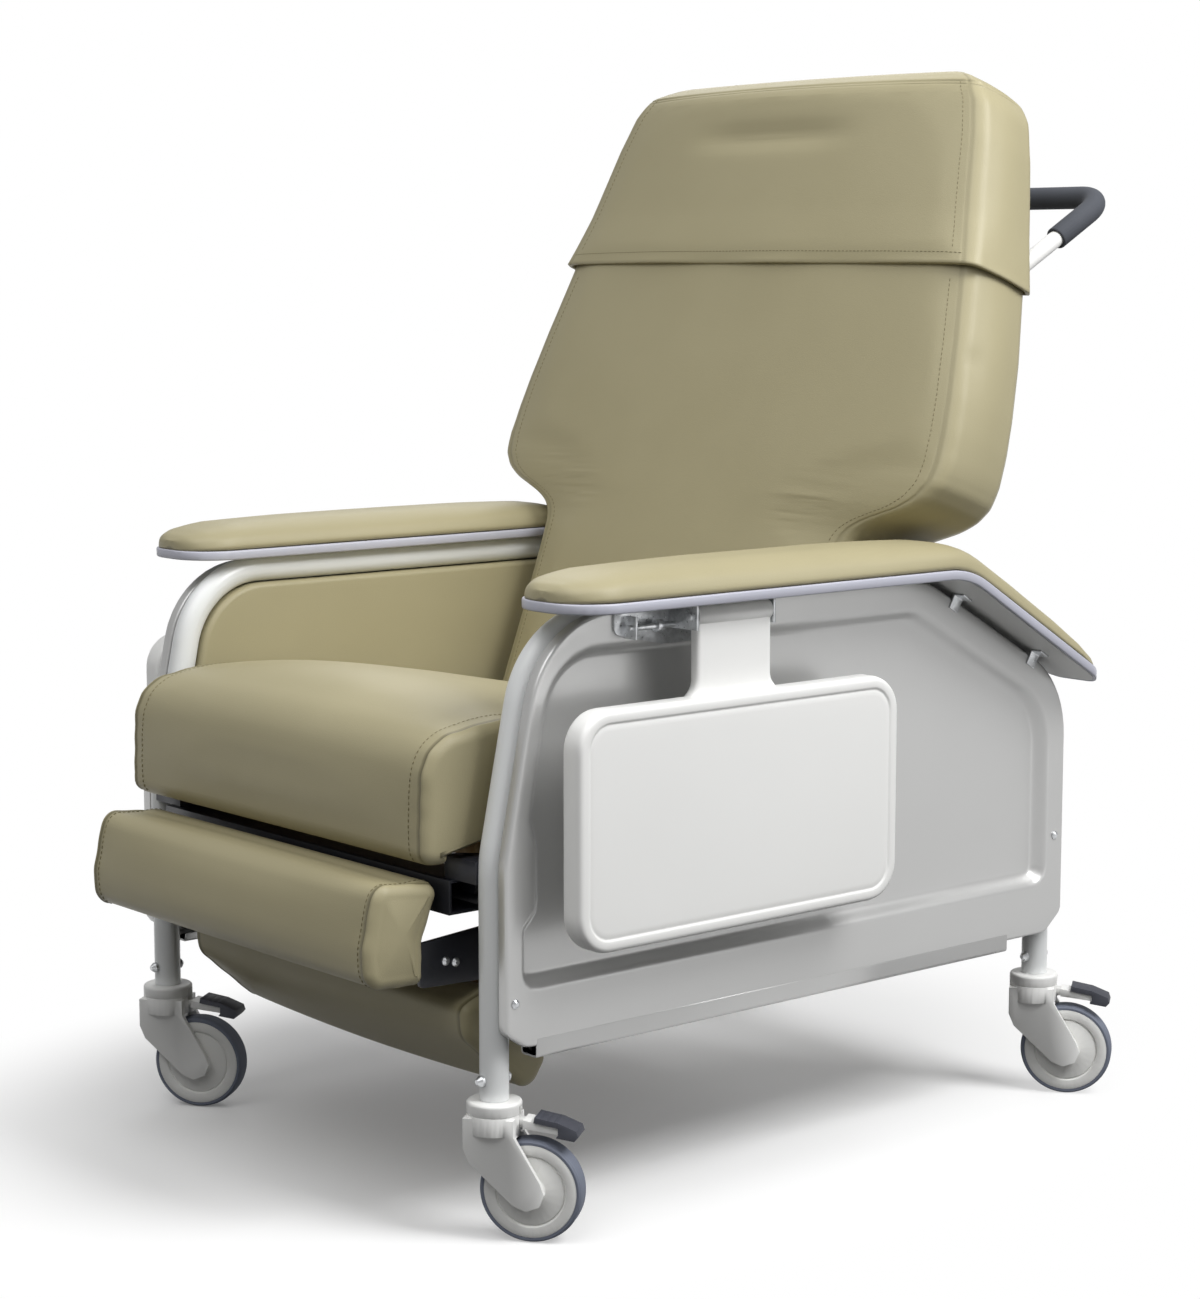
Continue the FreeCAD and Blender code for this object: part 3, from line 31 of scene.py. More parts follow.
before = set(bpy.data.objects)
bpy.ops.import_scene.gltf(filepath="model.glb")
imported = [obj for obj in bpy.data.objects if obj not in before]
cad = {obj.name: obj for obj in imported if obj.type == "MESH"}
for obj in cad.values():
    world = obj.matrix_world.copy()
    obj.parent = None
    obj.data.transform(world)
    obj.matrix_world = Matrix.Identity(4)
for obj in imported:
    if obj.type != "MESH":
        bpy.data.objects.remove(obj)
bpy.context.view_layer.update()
MM = 0.001
SPAN_SHIFT = 38
SIDES, SIGNS = ("left", "right"), (1, -1)
CASTERS = ("front_left", "front_right", "rear_left", "rear_right")
CAD_WELD, SKIN_WELD = 0.00002, 0.00001
TINY = 1e-9


# Materials; the sizes of their patterns are in mm

VINYL_CELL, VINYL_WARP, VINYL_PATCH, VINYL_SHEEN = 1.6, 2.4, 150, 45
PAINT_PATCH, PAINT_SHEEN = 220, 25
ZINC_CRYSTAL, ZINC_PATCH = 4, 7
PLY_LINE, PLY_STRETCH = 6, 0.06


def linear(code):
    """Linear colour of an sRGB hex value."""
    value = np.array([int(code[i:i + 2], 16) for i in (1, 3, 5)]) / 255
    low, high = value / 12.92, ((value + 0.055) / 1.055) ** 2.4
    return tuple(np.where(value <= 0.04045, low, high)) + (1.0,)


def add(tree, kind, inputs=None, **settings):
    """One shader node with its settings; an input takes a value, or a (node, output) pair that is
    linked to it."""
    made = tree.nodes.new(kind)
    for name, value in settings.items():
        setattr(made, name, value)
    for name, value in (inputs or {}).items():
        if isinstance(value, tuple) and isinstance(value[0], bpy.types.Node):
            tree.links.new(value[0].outputs[value[1]], made.inputs[name])
        else:
            made.inputs[name].default_value = value
    return made


def bare_tree(block):
    """Emptied node tree of a material or world."""
    block.use_nodes = True
    block.node_tree.nodes.clear()
    return block.node_tree


def finish(name, colour, rough, grain, **sockets):
    """Principled material; grain adds the nodes of its pattern and returns the inputs they feed."""
    material = bpy.data.materials.new(name)
    tree = bare_tree(material)
    shader = add(tree, "ShaderNodeBsdfPrincipled",
                 {"Base Color": linear(colour), "Roughness": rough})
    for socket, value in sockets.items():
        shader.inputs[socket.replace("_", " ")].default_value = value
    for socket, source in grain(tree).items():
        tree.links.new(source[0].outputs[source[1]], shader.inputs[socket])
    add(tree, "ShaderNodeOutputMaterial", {"Surface": (shader, "BSDF")})
    return material


def noise(tree, coords, size, detail):
    """Noise in patches of the given size in mm."""
    return add(tree, "ShaderNodeTexNoise",
               {"Vector": coords, "Scale": 1000 / size, "Detail": detail})


def mixed(tree, share, low, high):
    """Colour between two colours or (node, output) pairs."""
    return add(tree, "ShaderNodeMix", {0: share, 6: low, 7: high}, data_type="RGBA")


def spread(tree, pattern, low, high):
    """A pattern's 0 to 1 spread over the given range."""
    return add(tree, "ShaderNodeMapRange", {"Value": pattern, "To Min": low, "To Max": high})


def shade(tree, coords, size, low, high, detail=3.0, bounds=(0.35, 0.65)):
    """Two tones of one colour that change over patches of the given size in mm."""
    cloud = noise(tree, coords, size, detail)
    span = add(tree, "ShaderNodeMapRange",
               {"Value": (cloud, "Fac"), "From Min": bounds[0], "From Max": bounds[1]})
    return mixed(tree, (span, "Result"), linear(low), linear(high))


def vinyl_grain(low, high, seam):
    """Embossed calf grain: small cells, drawn a little coarse so that they show, over slow swells.
    The seam attribute of a piece paints the shade of the sunken groove where two panels are drawn
    together."""
    def build(tree):
        coords = (add(tree, "ShaderNodeTexCoord"), "Object")
        tone = shade(tree, coords, VINYL_PATCH, low, high, 2.0, (0.3, 0.7))
        # Painted shade: the seam attribute mixes the tone towards the seam colour along the grooves
        seam_shade_mask = add(tree, "ShaderNodeAttribute", attribute_name="seam")
        cloth = mixed(tree, (seam_shade_mask, "Fac"), (tone, 2), linear(seam))
        warp = noise(tree, coords, VINYL_WARP, 2.0)
        cell = add(tree, "ShaderNodeTexVoronoi", {"Vector": coords, "Scale": 1000 / VINYL_CELL},
                   feature="DISTANCE_TO_EDGE")
        raised = add(tree, "ShaderNodeMath", {0: (cell, "Distance"), 1: 2.2}, operation="MULTIPLY")
        height = add(tree, "ShaderNodeMath", {0: (raised, 0), 1: (warp, "Fac")}, operation="ADD")
        bump = add(tree, "ShaderNodeBump",
                   {"Height": (height, 0), "Strength": 0.14, "Distance": 0.0006})
        sheen = noise(tree, coords, VINYL_SHEEN, 3.0)
        rough = spread(tree, (sheen, "Fac"), 0.42, 0.50)
        return {"Base Color": (cloth, 2), "Normal": (bump, "Normal"),
                "Roughness": (rough, "Result")}
    return build


def paint_skin(low, high, size=0.9, rough=(0.3, 0.4), strength=0.05):
    """Sprayed or moulded skin: fine orange peel of the given size in mm, slow changes of tone."""
    def build(tree):
        coords = (add(tree, "ShaderNodeTexCoord"), "Object")
        tone = shade(tree, coords, PAINT_PATCH, low, high, 2.0, (0.25, 0.75))
        peel = noise(tree, coords, size, 2.0)
        bump = add(tree, "ShaderNodeBump",
                   {"Height": (peel, "Fac"), "Strength": strength, "Distance": 0.0004})
        sheen = noise(tree, coords, PAINT_SHEEN, 4.0)
        gloss = spread(tree, (sheen, "Fac"), *rough)
        return {"Base Color": (tone, 2), "Normal": (bump, "Normal"),
                "Roughness": (gloss, "Result")}
    return build


def plated_skin(low, high):
    """Zinc plate: mottled crystals a few millimetres across with uneven gloss."""
    def build(tree):
        coords = (add(tree, "ShaderNodeTexCoord"), "Object")
        tone = shade(tree, coords, ZINC_PATCH, low, high, 5.0)
        crystal = add(tree, "ShaderNodeTexVoronoi",
                      {"Vector": coords, "Scale": 1000 / ZINC_CRYSTAL})
        gloss = spread(tree, (crystal, "Distance"), 0.24, 0.42)
        return {"Base Color": (tone, 2), "Roughness": (gloss, "Result")}
    return build


def ply_grain(low, high):
    """Plywood face: long grain lines, stretched along the board."""
    def build(tree):
        coords = (add(tree, "ShaderNodeTexCoord"), "Object")
        run = add(tree, "ShaderNodeMapping", {"Vector": coords, "Scale": (PLY_STRETCH, 1.0, 1.0)})
        tone = shade(tree, (run, "Vector"), PLY_LINE, low, high, 6.0)
        return {"Base Color": (tone, 2)}
    return build


# Soft vinyl upholstery, calendered and embossed: satin, with a fine grain and slow changes of tone;
# the third colour is painted shade for the seam grooves
VINYL = finish("upholstery_vinyl", "#A69E7E", 0.46, vinyl_grain("#A49C7C", "#A8A080", "#605A3E"),
               Specular_IOR_Level=0.4)
# Bonded thread, a shade darker than the vinyl
THREAD = finish("bonded_thread", "#7A7354", 0.7,
                paint_skin("#746D4E", "#807959", 0.6, (0.6, 0.75), 0.2))
# Silver powder coat on pressed steel: low sparkle, soft gloss
SILVER = finish("silver_powder_coat", "#C6C6C5", 0.36,
                paint_skin("#C4C4C3", "#C8C8C7", 0.8, (0.33, 0.41)), Metallic=0.55)
# Pale enamel on bent tube: smooth and glossier than the panel
ENAMEL = finish("tube_enamel", "#E8EAEA", 0.3, paint_skin("#E6E8E8", "#EAECEC", 1.4, (0.26, 0.34)))
# Moulded white ABS: fine spark texture, soft gloss
ABS = finish("moulded_white_abs", "#F3F3F1", 0.38,
             paint_skin("#F1F1EF", "#F5F5F3", 0.7, (0.34, 0.44), 0.06))
# Grey elastomer of the tyres: matt, slightly dusty
TYRE = finish("grey_tyre_rubber", "#747A89", 0.72,
              paint_skin("#6F7584", "#7B8190", 1.2, (0.65, 0.8), 0.15))
# Dark rubber of the pedal treads: matt
TREAD = finish("dark_tread_rubber", "#3E4049", 0.6,
               paint_skin("#383A43", "#454750", 1.0, (0.5, 0.68), 0.2))
# Moulded plastic of the wheels: white, duller than the ABS
WHEEL = finish("moulded_wheel_white", "#F1F1EE", 0.45,
               paint_skin("#EEEEEB", "#F4F4F1", 0.9, (0.4, 0.52), 0.08))
# Closed-cell foam sleeve: dark, matt, finely pored
FOAM = finish("grip_foam", "#4A4D54", 0.85,
              paint_skin("#44474E", "#51545B", 0.9, (0.8, 0.92), 0.35))
# Extruded PVC edge trim: smooth, slightly bluish grey
EDGE = finish("pvc_edge_trim", "#B9BAC6", 0.36,
              paint_skin("#B4B5C1", "#BEBFCB", 1.2, (0.32, 0.42)))
# Zinc plate on brackets and fasteners: bright, mottled
ZINC = finish("zinc_plate", "#C2C4C6", 0.32, plated_skin("#B6B8BA", "#CED0D2"), Metallic=0.9)
# Black enamel on the frames under the seat: half gloss
BLACK = finish("black_enamel", "#22242B", 0.4,
               paint_skin("#1E2026", "#272932", 1.0, (0.34, 0.48)))
# Birch plywood of the hidden boards: bare, with long grain
PLY = finish("birch_ply", "#B79B72", 0.6, ply_grain("#A88A60", "#C4AA82"))
# White lacquer on the arm boards: smooth, half matt
WHITE_BOARD = finish("lacquered_board", "#E4E4E2", 0.45,
                     paint_skin("#E0E0DE", "#E9E9E7", 1.0, (0.4, 0.5)))


# Finishes and eased edges of the CAD nodes

def dress(material, *names):
    """Gives CAD nodes a finish."""
    for name in names:
        cad[name].data.materials.clear()
        cad[name].data.materials.append(material)


def soften(width, *names):
    """Eases the hard edges of CAD nodes by a narrow rounding of the given width in mm."""
    for name in names:
        weld = cad[name].modifiers.new("joined", "WELD")
        weld.merge_threshold = CAD_WELD
        round_off = cad[name].modifiers.new("eased", "BEVEL")
        round_off.width = width * MM
        round_off.segments = 2
        round_off.limit_method = "ANGLE"
        round_off.angle_limit = math.radians(40)
        round_off.use_clamp_overlap = True
        round_off.harden_normals = True
        cad[name].data.shade_smooth()


dress(ENAMEL, "left_side_frame", "right_side_frame")
dress(ABS, "push_handle")
dress(WHITE_BOARD, "left_arm_board", "right_arm_board")
dress(EDGE, "left_arm_trim", "right_arm_trim")
dress(ZINC, "arm_brackets", "tray_brackets", "leg_bolts", "panel_screws", "legrest_screws",
      "back_pivot_plates", "caster_stems")
dress(BLACK, "seat_frame", "slide_sleeves", "legrest_carriage", "legrest_frame", "back_uprights")
dress(PLY, "seat_deck", "footrest_board")
dress(VINYL, "back_board")
dress(FOAM, "push_grip")
for caster in CASTERS:
    dress(ABS, caster + "_caster_housing", caster + "_caster_pedal")
    dress(WHEEL, caster + "_caster_wheel")
    dress(TYRE, caster + "_caster_tyre")
    dress(TREAD, caster + "_pedal_tread")
    soften(1.2, caster + "_caster_housing", caster + "_caster_pedal", caster + "_pedal_tread")
    soften(0.8, caster + "_caster_wheel")
soften(1.5, "left_arm_trim", "right_arm_trim", "push_grip")
soften(0.8, "tray_brackets", "arm_brackets", "seat_frame", "legrest_frame", "back_uprights",
       "back_board")


# Grids, loops and meshes

ARC_POINTS = 10
WAVES = 6


def place(grid):
    """Points in mm on the chair's stations, as metres in the row's frame."""
    return (np.asarray(grid, float) - [0, SPAN_SHIFT, 0]) * MM


def upright(x, loop):
    """Loop of (y, z) points at one station across the chair."""
    return np.column_stack([np.full(len(loop), x), loop])


def shrunk(loop, share, middle):
    """Loop drawn in towards a point."""
    return middle + share * (loop - middle)


def quads(rows, cols):
    """Faces between the rings of a grid, as indices of its points."""
    i, j = np.meshgrid(np.arange(rows - 1), np.arange(cols), indexing="ij")
    k = (j + 1) % cols
    corners = [i * cols + j, i * cols + k, (i + 1) * cols + k, (i + 1) * cols + j]
    return np.stack(corners, -1).reshape(-1, 4)


def shell(grid, cap=True):
    """Points and faces over a (rows, columns, 3) grid: columns run round, rows run along, and the
    ends close on their middles."""
    rows, cols = grid.shape[:2]
    points, faces = grid.reshape(-1, 3), quads(rows, cols).tolist()
    if cap:
        points = np.vstack([points, grid[0].mean(0), grid[-1].mean(0)])
        turn = np.arange(cols)
        ahead, last = np.roll(turn, -1), (rows - 1) * cols
        first_middle, last_middle = np.full(cols, rows * cols), np.full(cols, rows * cols + 1)
        faces += np.stack([turn, first_middle, ahead], -1).tolist()
        faces += np.stack([last + ahead, last_middle, last + turn], -1).tolist()
    return points, faces


def joined(*shells):
    """Several shells as one list of points and faces."""
    starts = np.cumsum([0] + [len(points) for points, _ in shells])
    faces = [[int(v) + int(start) for v in face]
             for (_, part), start in zip(shells, starts) for face in part]
    return np.vstack([points for points, _ in shells]), faces


def linked(name, data):
    """New object in the scene."""
    made = bpy.data.objects.new(name, data)
    bpy.context.scene.collection.objects.link(made)
    return made


def turned_out(name, points, faces, weld=False):
    """Mesh with its faces turned outwards; weld joins points that coincide."""
    mesh = bpy.data.meshes.new(name)
    mesh.from_pydata(points.tolist(), [], faces)
    work = bmesh.new()
    work.from_mesh(mesh)
    if weld:
        bmesh.ops.remove_doubles(work, verts=work.verts, dist=SKIN_WELD)
    bmesh.ops.recalc_face_normals(work, faces=work.faces)
    work.to_mesh(mesh)
    work.free()
    return mesh


def body_mesh(name, points, faces, material, body, replaces=(), weld=False):
    """Mesh object that rides on a body, with faces turned outwards and smooth shading."""
    mesh = turned_out(name, points, faces, weld)
    mesh.shade_smooth()
    piece = linked(name, mesh)
    mesh.materials.append(material)
    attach(piece, body)
    if replaces:
        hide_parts(*replaces)
    return piece


def skin(name, grid, body, replaces, seam=None):
    """Closed piece of vinyl over a grid; seam gives the depth of its seams, row by row, which
    paints shade along them.
    """
    points, faces = shell(grid)
    piece = body_mesh(name, place(points), faces, VINYL, body, replaces)
    if seam is not None:
        depth = np.zeros(len(points))
        depth[:-2] = np.broadcast_to(seam, grid.shape[:2]).ravel()
        piece.data.attributes.new("seam", "FLOAT", "POINT").data.foreach_set("value", depth)


def resample(path, count, closed=True):
    """Points spread evenly by length along a path of points."""
    path = np.asarray(path, float)
    if closed:
        path = np.vstack([path, path[:1]])
    run = np.concatenate([[0], np.cumsum(np.linalg.norm(np.diff(path, axis=0), axis=1))])
    at = np.linspace(0, run[-1], count, endpoint=not closed)
    return np.stack([np.interp(at, run, path[:, c]) for c in range(path.shape[1])], -1)


def rounded_loop(corners, count):
    """Closed loop through (y, z, radius) corners: straight runs joined by tangent arcs, with its
    points spread evenly."""
    corners = np.asarray(corners, float)
    points = []
    for before, corner, after in zip(np.roll(corners, 1, 0), corners, np.roll(corners, -1, 0)):
        here, radius = corner[:2], corner[2]
        back = (before[:2] - here) / np.linalg.norm(before[:2] - here)
        ahead = (after[:2] - here) / np.linalg.norm(after[:2] - here)
        half = math.acos(np.clip(back @ ahead, -1, 1)) / 2
        middle = (back + ahead) / np.linalg.norm(back + ahead)
        centre = here + middle * radius / math.sin(half)
        first = here + back * radius / math.tan(half) - centre
        last = here + ahead * radius / math.tan(half) - centre
        share = np.linspace(0, 1, ARC_POINTS)[:, None]
        sweep = math.pi - 2 * half
        arc = np.sin((1 - share) * sweep) * first + np.sin(share * sweep) * last
        points.append(centre + arc / math.sin(sweep))
    return resample(np.vstack(points), count)


def outward(loop):
    """Unit normals of an anticlockwise closed loop, pointing out."""
    along = np.roll(loop, -1, 0) - np.roll(loop, 1, 0)
    along /= np.linalg.norm(along, axis=1)[:, None]
    return np.stack([along[:, 1], -along[:, 0]], -1)


def ripple(points, size, seed):
    """Slow swell of padded cloth: a seeded sum of plane waves of about the given size in mm,
    within -1 to 1."""
    dice = np.random.default_rng(seed)
    total = np.zeros(points.shape[:-1])
    for _ in range(WAVES):
        direction = dice.normal(size=3)
        direction /= np.linalg.norm(direction)
        length = size * dice.uniform(0.7, 1.5)
        total += np.sin(points @ direction * 2 * math.pi / length + dice.uniform(0, 6.28))
    return total / WAVES


# Cloth: the padded pieces are settled by a short simulation

CLOTH = {"quality": 6, "mass": 0.35, "tension_stiffness": 18, "compression_stiffness": 18,
         "shear_stiffness": 12, "bending_stiffness": 8, "use_pressure": True,
         "uniform_pressure_force": 4, "vertex_group_mass": "held"}
CLOTH_FRAMES = 20


def settle(grid, held, slack, limit):
    """Vinyl drawn over its filling: cloth that starts slack mm inside the shape, swells under
    pressure and is capped at limit mm. Points are held by the weights in held, at the seams and
    where the pad is fixed. Every second column is simulated and the others follow."""
    along, around = np.gradient(grid, axis=0), np.roll(grid, -1, 1) - np.roll(grid, 1, 1)
    normal = np.cross(along, around)
    normal /= np.maximum(np.linalg.norm(normal, axis=-1, keepdims=True), TINY)
    normal *= np.sign(np.sum(normal * (grid - grid.mean((0, 1))))) or 1
    start = grid - normal * slack * (1 - held[..., None])
    points, faces = shell(start[:, ::2])
    piece = linked("cloth", turned_out("cloth", place(points), faces))
    group = piece.vertex_groups.new(name="held")
    for index, weight in enumerate(np.append(held[:, ::2].ravel(), [0, 0])):
        group.add([index], float(weight), "REPLACE")
    cloth = piece.modifiers.new("cloth", "CLOTH")
    for name, value in CLOTH.items():
        setattr(cloth.settings, name, value)
    cloth.settings.effector_weights.gravity = 0
    cloth.collision_settings.use_collision = False
    cloth.point_cache.frame_start, cloth.point_cache.frame_end = 1, CLOTH_FRAMES
    for step in range(1, CLOTH_FRAMES + 1):
        bpy.context.scene.frame_set(step)
    done = piece.evaluated_get(bpy.context.evaluated_depsgraph_get()).data
    moved = np.zeros(len(points) * 3)
    done.vertices.foreach_get("co", moved)
    bpy.context.scene.frame_set(1)
    bpy.data.objects.remove(piece)
    move = (moved.reshape(-1, 3) - place(points))[:-2].reshape(start[:, ::2].shape) / MM
    move *= np.minimum(1, limit / np.maximum(np.linalg.norm(move, axis=-1, keepdims=True), TINY))
    full = np.repeat(move, 2, axis=1)[:, :grid.shape[1]]
    full[:, 1::2] = (full[:, 1::2] + np.roll(full, -1, 1)[:, 1::2]) / 2
    return start + full


def eased(held, rows, cols):
    """Weights spread over a few rows and columns, so that a fixed area ends in a soft curve and
    not in a fold."""
    for axis, times in enumerate((rows, cols)):
        for _ in range(times):
            held = (np.roll(held, 1, axis) + held + np.roll(held, -1, axis)) / 3
    return held


# Boxed rolls and their stitches

ROLL_EDGE = 15
SEAM_BACK = 0.62 * ROLL_EDGE
SEAM_WIDE, SEAM_DEEP = 1.5, 2.2
GATHER_REACH, GATHER_PITCH = 14, 31
STITCH_PITCH, STITCH_LONG, STITCH_THICK, STITCH_SIDES = 5.5, 3.6, 0.9, 6


def roll_held(grid, seam, half, fixed):
    """Held weights of a roll: its seams, the ends beyond them and the area that is fixed to a
    board or frame."""
    across = np.abs(grid[..., 0])
    ends = np.clip((across - half + 0.8 * ROLL_EDGE) / (0.25 * ROLL_EDGE), 0, 1)
    return np.maximum(np.maximum(seam, ends), eased(1.0 * fixed, 2, 14))


def boxed_roll(loop_at, half, bulge, pucker, seed):
    """Padded roll across the chair: a loop carried along X, turned in over a rounded edge at each
    end and closed by a cap that swells; the cap's seam is a narrow groove, puckered on both
    sides. Returns the grid and the depth of the seam in each row."""
    across = np.linspace(0, half - ROLL_EDGE, 28)
    turn = np.linspace(0, math.pi / 2, 12)[1:]
    close = np.linspace(1, 0.04, 16)[1:]
    x = np.concatenate([across, half - ROLL_EDGE + ROLL_EDGE * np.sin(turn),
                        half + bulge * (1 - close ** 2)])
    draw = np.concatenate([0 * across, ROLL_EDGE * (1 - np.cos(turn)),
                           np.full(close.size, ROLL_EDGE)])
    scale = np.concatenate([np.ones(across.size + turn.size), close])
    seam_at = half - SEAM_BACK
    rows, seam = [], []
    for xi, di, ki in zip(x, draw, scale):
        loop = loop_at(xi)
        near = math.exp(-((xi - seam_at) / SEAM_WIDE) ** 2) if ki == 1 else 0
        reach = math.exp(-abs(xi - seam_at) / GATHER_REACH) if ki == 1 else 0
        length = np.linalg.norm(np.diff(loop, axis=0, append=loop[:1]), axis=1).cumsum()
        phase = length * 2 * math.pi / GATHER_PITCH + 1.7 * np.sin(length / 47 + seed)
        gather = pucker * reach * np.sin(phase)
        ring = loop - outward(loop) * (di + SEAM_DEEP * near + gather)[:, None]
        rows.append(upright(xi, shrunk(ring, ki, ring.mean(0))))
        seam.append(near)
    right = np.array(rows)
    left = right[:0:-1] * [-1, 1, 1]
    return np.concatenate([left, right]), np.array(seam[:0:-1] + seam)[:, None]


def stitches(name, path, normal, body):
    """Row of thread stitches on a path: each is a six-sided grain laid along the path, half sunk
    in the cloth."""
    path = np.asarray(path, float)
    run = np.linalg.norm(np.diff(path, axis=0), axis=1).sum()
    count = max(2, int(run / STITCH_PITCH))
    spots = resample(path, count, closed=False)
    up = resample(normal, count, closed=False)
    up /= np.linalg.norm(up, axis=1)[:, None]
    along = np.gradient(spots, axis=0)
    along /= np.linalg.norm(along, axis=1)[:, None]
    side = np.cross(up, along)
    ring = np.arange(STITCH_SIDES) * 2 * math.pi / STITCH_SIDES
    station = np.array([-0.5, -0.3, 0.3, 0.5]) * STITCH_LONG
    girth = np.array([0.35, 1, 1, 0.35]) * STITCH_THICK / 2
    grid = (spots[:, None, None] + along[:, None, None] * station[None, :, None, None]
            + (up[:, None, None] * np.sin(ring)[None, None, :, None]
               + side[:, None, None] * np.cos(ring)[None, None, :, None])
            * girth[None, :, None, None])
    size = station.size * STITCH_SIDES
    sides = quads(station.size, STITCH_SIDES)[None] + size * np.arange(count)[:, None, None]
    caps = (range(STITCH_SIDES - 1, -1, -1), range(size - STITCH_SIDES, size))
    ends = [[size * n + corner for corner in cap] for n in range(count) for cap in caps]
    faces = sides.reshape(-1, 4).tolist() + ends
    body_mesh(name, place(grid.reshape(-1, 3)), faces, THREAD, body)


def roll_stitches(name, grid, x, body, start, stop):
    """Stitch row round a roll at a station across the chair, over part of its loop."""
    row = grid[np.argmin(np.abs(grid[:, 0, 0] - x))]
    normal = outward(row[:, 1:])
    pick = np.arange(int(start * len(row)), int(stop * len(row))) % len(row)
    up = np.column_stack([np.zeros(pick.size), normal[pick]])
    stitches(name, row[pick] + 0.4 * up, up, body)


# Seat cushion: front roll, crowned top and boxed ends

SEAT_HALF, SEAT_CROWN = 267, 27
SEAT_SKIN = SEAT_HALF - 2


def seat_loop(x):
    """Seat profile at a station across the chair; the crown falls away towards the sides."""
    rise = SEAT_CROWN * (1 - min(1, x / SEAT_HALF) ** 2)
    return rounded_loop([(-451, 363, 19), (-414, 363, 8), (-413.5, 395, 1.2), (-9.5, 333.5, 8),
                         (24, 437 + 0.5 * rise, 24), (-350, 500 + rise, 150),
                         (-447, 486 + 0.3 * rise, 48)], 220)


seat_grid, seat_seam = boxed_roll(seat_loop, SEAT_SKIN, bulge=3, pucker=0.4, seed=2)
on_deck = (seat_grid[..., 2] < 396) & (seat_grid[..., 1] > -440)
seat_held = roll_held(seat_grid, seat_seam, SEAT_SKIN, on_deck)
seat_grid = settle(seat_grid, seat_held, slack=3.5, limit=6)
# The seat's seam depths also paint shade along its seams
skin("seat_upholstery", seat_grid, "base", ("seat_cushion",), seat_seam)
for side, sign in zip(SIDES, SIGNS):
    roll_stitches(side + "_seat_stitches", seat_grid, sign * (SEAT_HALF - 22), "base", 0.52, 1.02)


# Leg rest bolster and foot pad

BOLSTER_HALF, FOOT_HALF = 255, 245
BOLSTER_SKIN, FOOT_SKIN = BOLSTER_HALF - 2, FOOT_HALF - 1


def bolster_loop(x):
    """Bolster profile with a slightly fuller front in the middle."""
    swell = 3 * (1 - min(1, x / BOLSTER_HALF) ** 2)
    return rounded_loop([(-506 - swell, 249, 22), (-436, 246, 12), (-436, 290, 30),
                         (-414, 346, 14), (-496, 356, 22), (-511 - swell, 286, 60)], 160)


bolster_grid, bolster_seam = boxed_roll(bolster_loop, BOLSTER_SKIN, bulge=4, pucker=0.35, seed=5)
bolster_held = roll_held(bolster_grid, bolster_seam, BOLSTER_SKIN, bolster_grid[..., 1] > -446)
bolster_grid = settle(bolster_grid, bolster_held, slack=4, limit=7)
skin("bolster_upholstery", bolster_grid, "legrest", ("legrest_bolster",), bolster_seam)
for side, sign in zip(SIDES, SIGNS):
    roll_stitches(side + "_bolster_stitches", bolster_grid, sign * (BOLSTER_HALF - 19), "legrest",
                  0.45, 1.15)


def foot_loop(x):
    """Foot pad profile, fuller below in the middle of the chair."""
    fall = 9 * (1 - min(1, x / FOOT_HALF) ** 2)
    return rounded_loop([(-388, 216, 16), (-388, 184, 34), (-300, 107 - fall, 22),
                         (-274, 150 - 0.3 * fall, 18), (-345, 232, 18)], 150)


foot_grid, foot_seam = boxed_roll(foot_loop, FOOT_SKIN, bulge=2, pucker=0.3, seed=7)
on_board = foot_grid[..., 1] + foot_grid[..., 2] > -140
foot_grid = settle(foot_grid, roll_held(foot_grid, foot_seam, FOOT_SKIN, on_board),
                   slack=3, limit=6)
skin("foot_pad_upholstery", foot_grid, "legrest", ("footrest_pad",), foot_seam)


# Back cushion with wings, and the slip cover over its head end. Levels run along the back.

LEAN = math.radians(20)
BACK_Y, BACK_Z = 151, 743
BACK_LOW, BACK_TOP, LOW_ROUND, TOP_ROUND = -345, 432, 16, 34
TOP_START = BACK_TOP - TOP_ROUND
FLARE_LOW, FLARE_HIGH, FLARE_MIDDLE = -116, -20, -70
HEM = 203
FRONT_N, CORNER_N, SIDE_N, REAR_N = 60, 9, 14, 30
REAR_START = FRONT_N + CORNER_N + SIDE_N - 2
REAR = slice(REAR_START - 1, REAR_START + REAR_N + 1)
COVER_TURN = 6
# Half width at measured levels
WIDTHS = np.array([
    (-345, 254), (-330, 257), (-300, 258), (-112, 258), (-102, 261), (-92, 269), (-82, 286),
    (-74, 307), (-65, 332), (-53, 352), (-37, 365), (-15, 370), (20, 369), (60, 364), (120, 353),
    (203, 334), (285, 314), (350, 299), (392, 285), (411, 270), (424, 249), (432, 214)], float)


def back_width(level):
    """Half width of the back at a level, smoothed between the measured levels."""
    fine = np.linspace(BACK_LOW, BACK_TOP, 1555)
    wide = np.interp(fine, WIDTHS[:, 0], WIDTHS[:, 1])
    kernel = np.hanning(29) / np.hanning(29).sum()
    wide = np.convolve(np.pad(wide, 14, mode="edge"), kernel, mode="valid")
    return np.interp(level, fine, wide)


def top_draw(level):
    """How far the top corners are drawn in at a level."""
    return np.interp(level, [417, BACK_TOP], [0, 6])


def lean_back(x, depth, level):
    """Points given across, behind and along the back, set leaning on the chair."""
    return np.stack([x, BACK_Y + level * math.sin(LEAN) + depth * math.cos(LEAN),
                     BACK_Z + level * math.cos(LEAN) - depth * math.sin(LEAN)], -1)


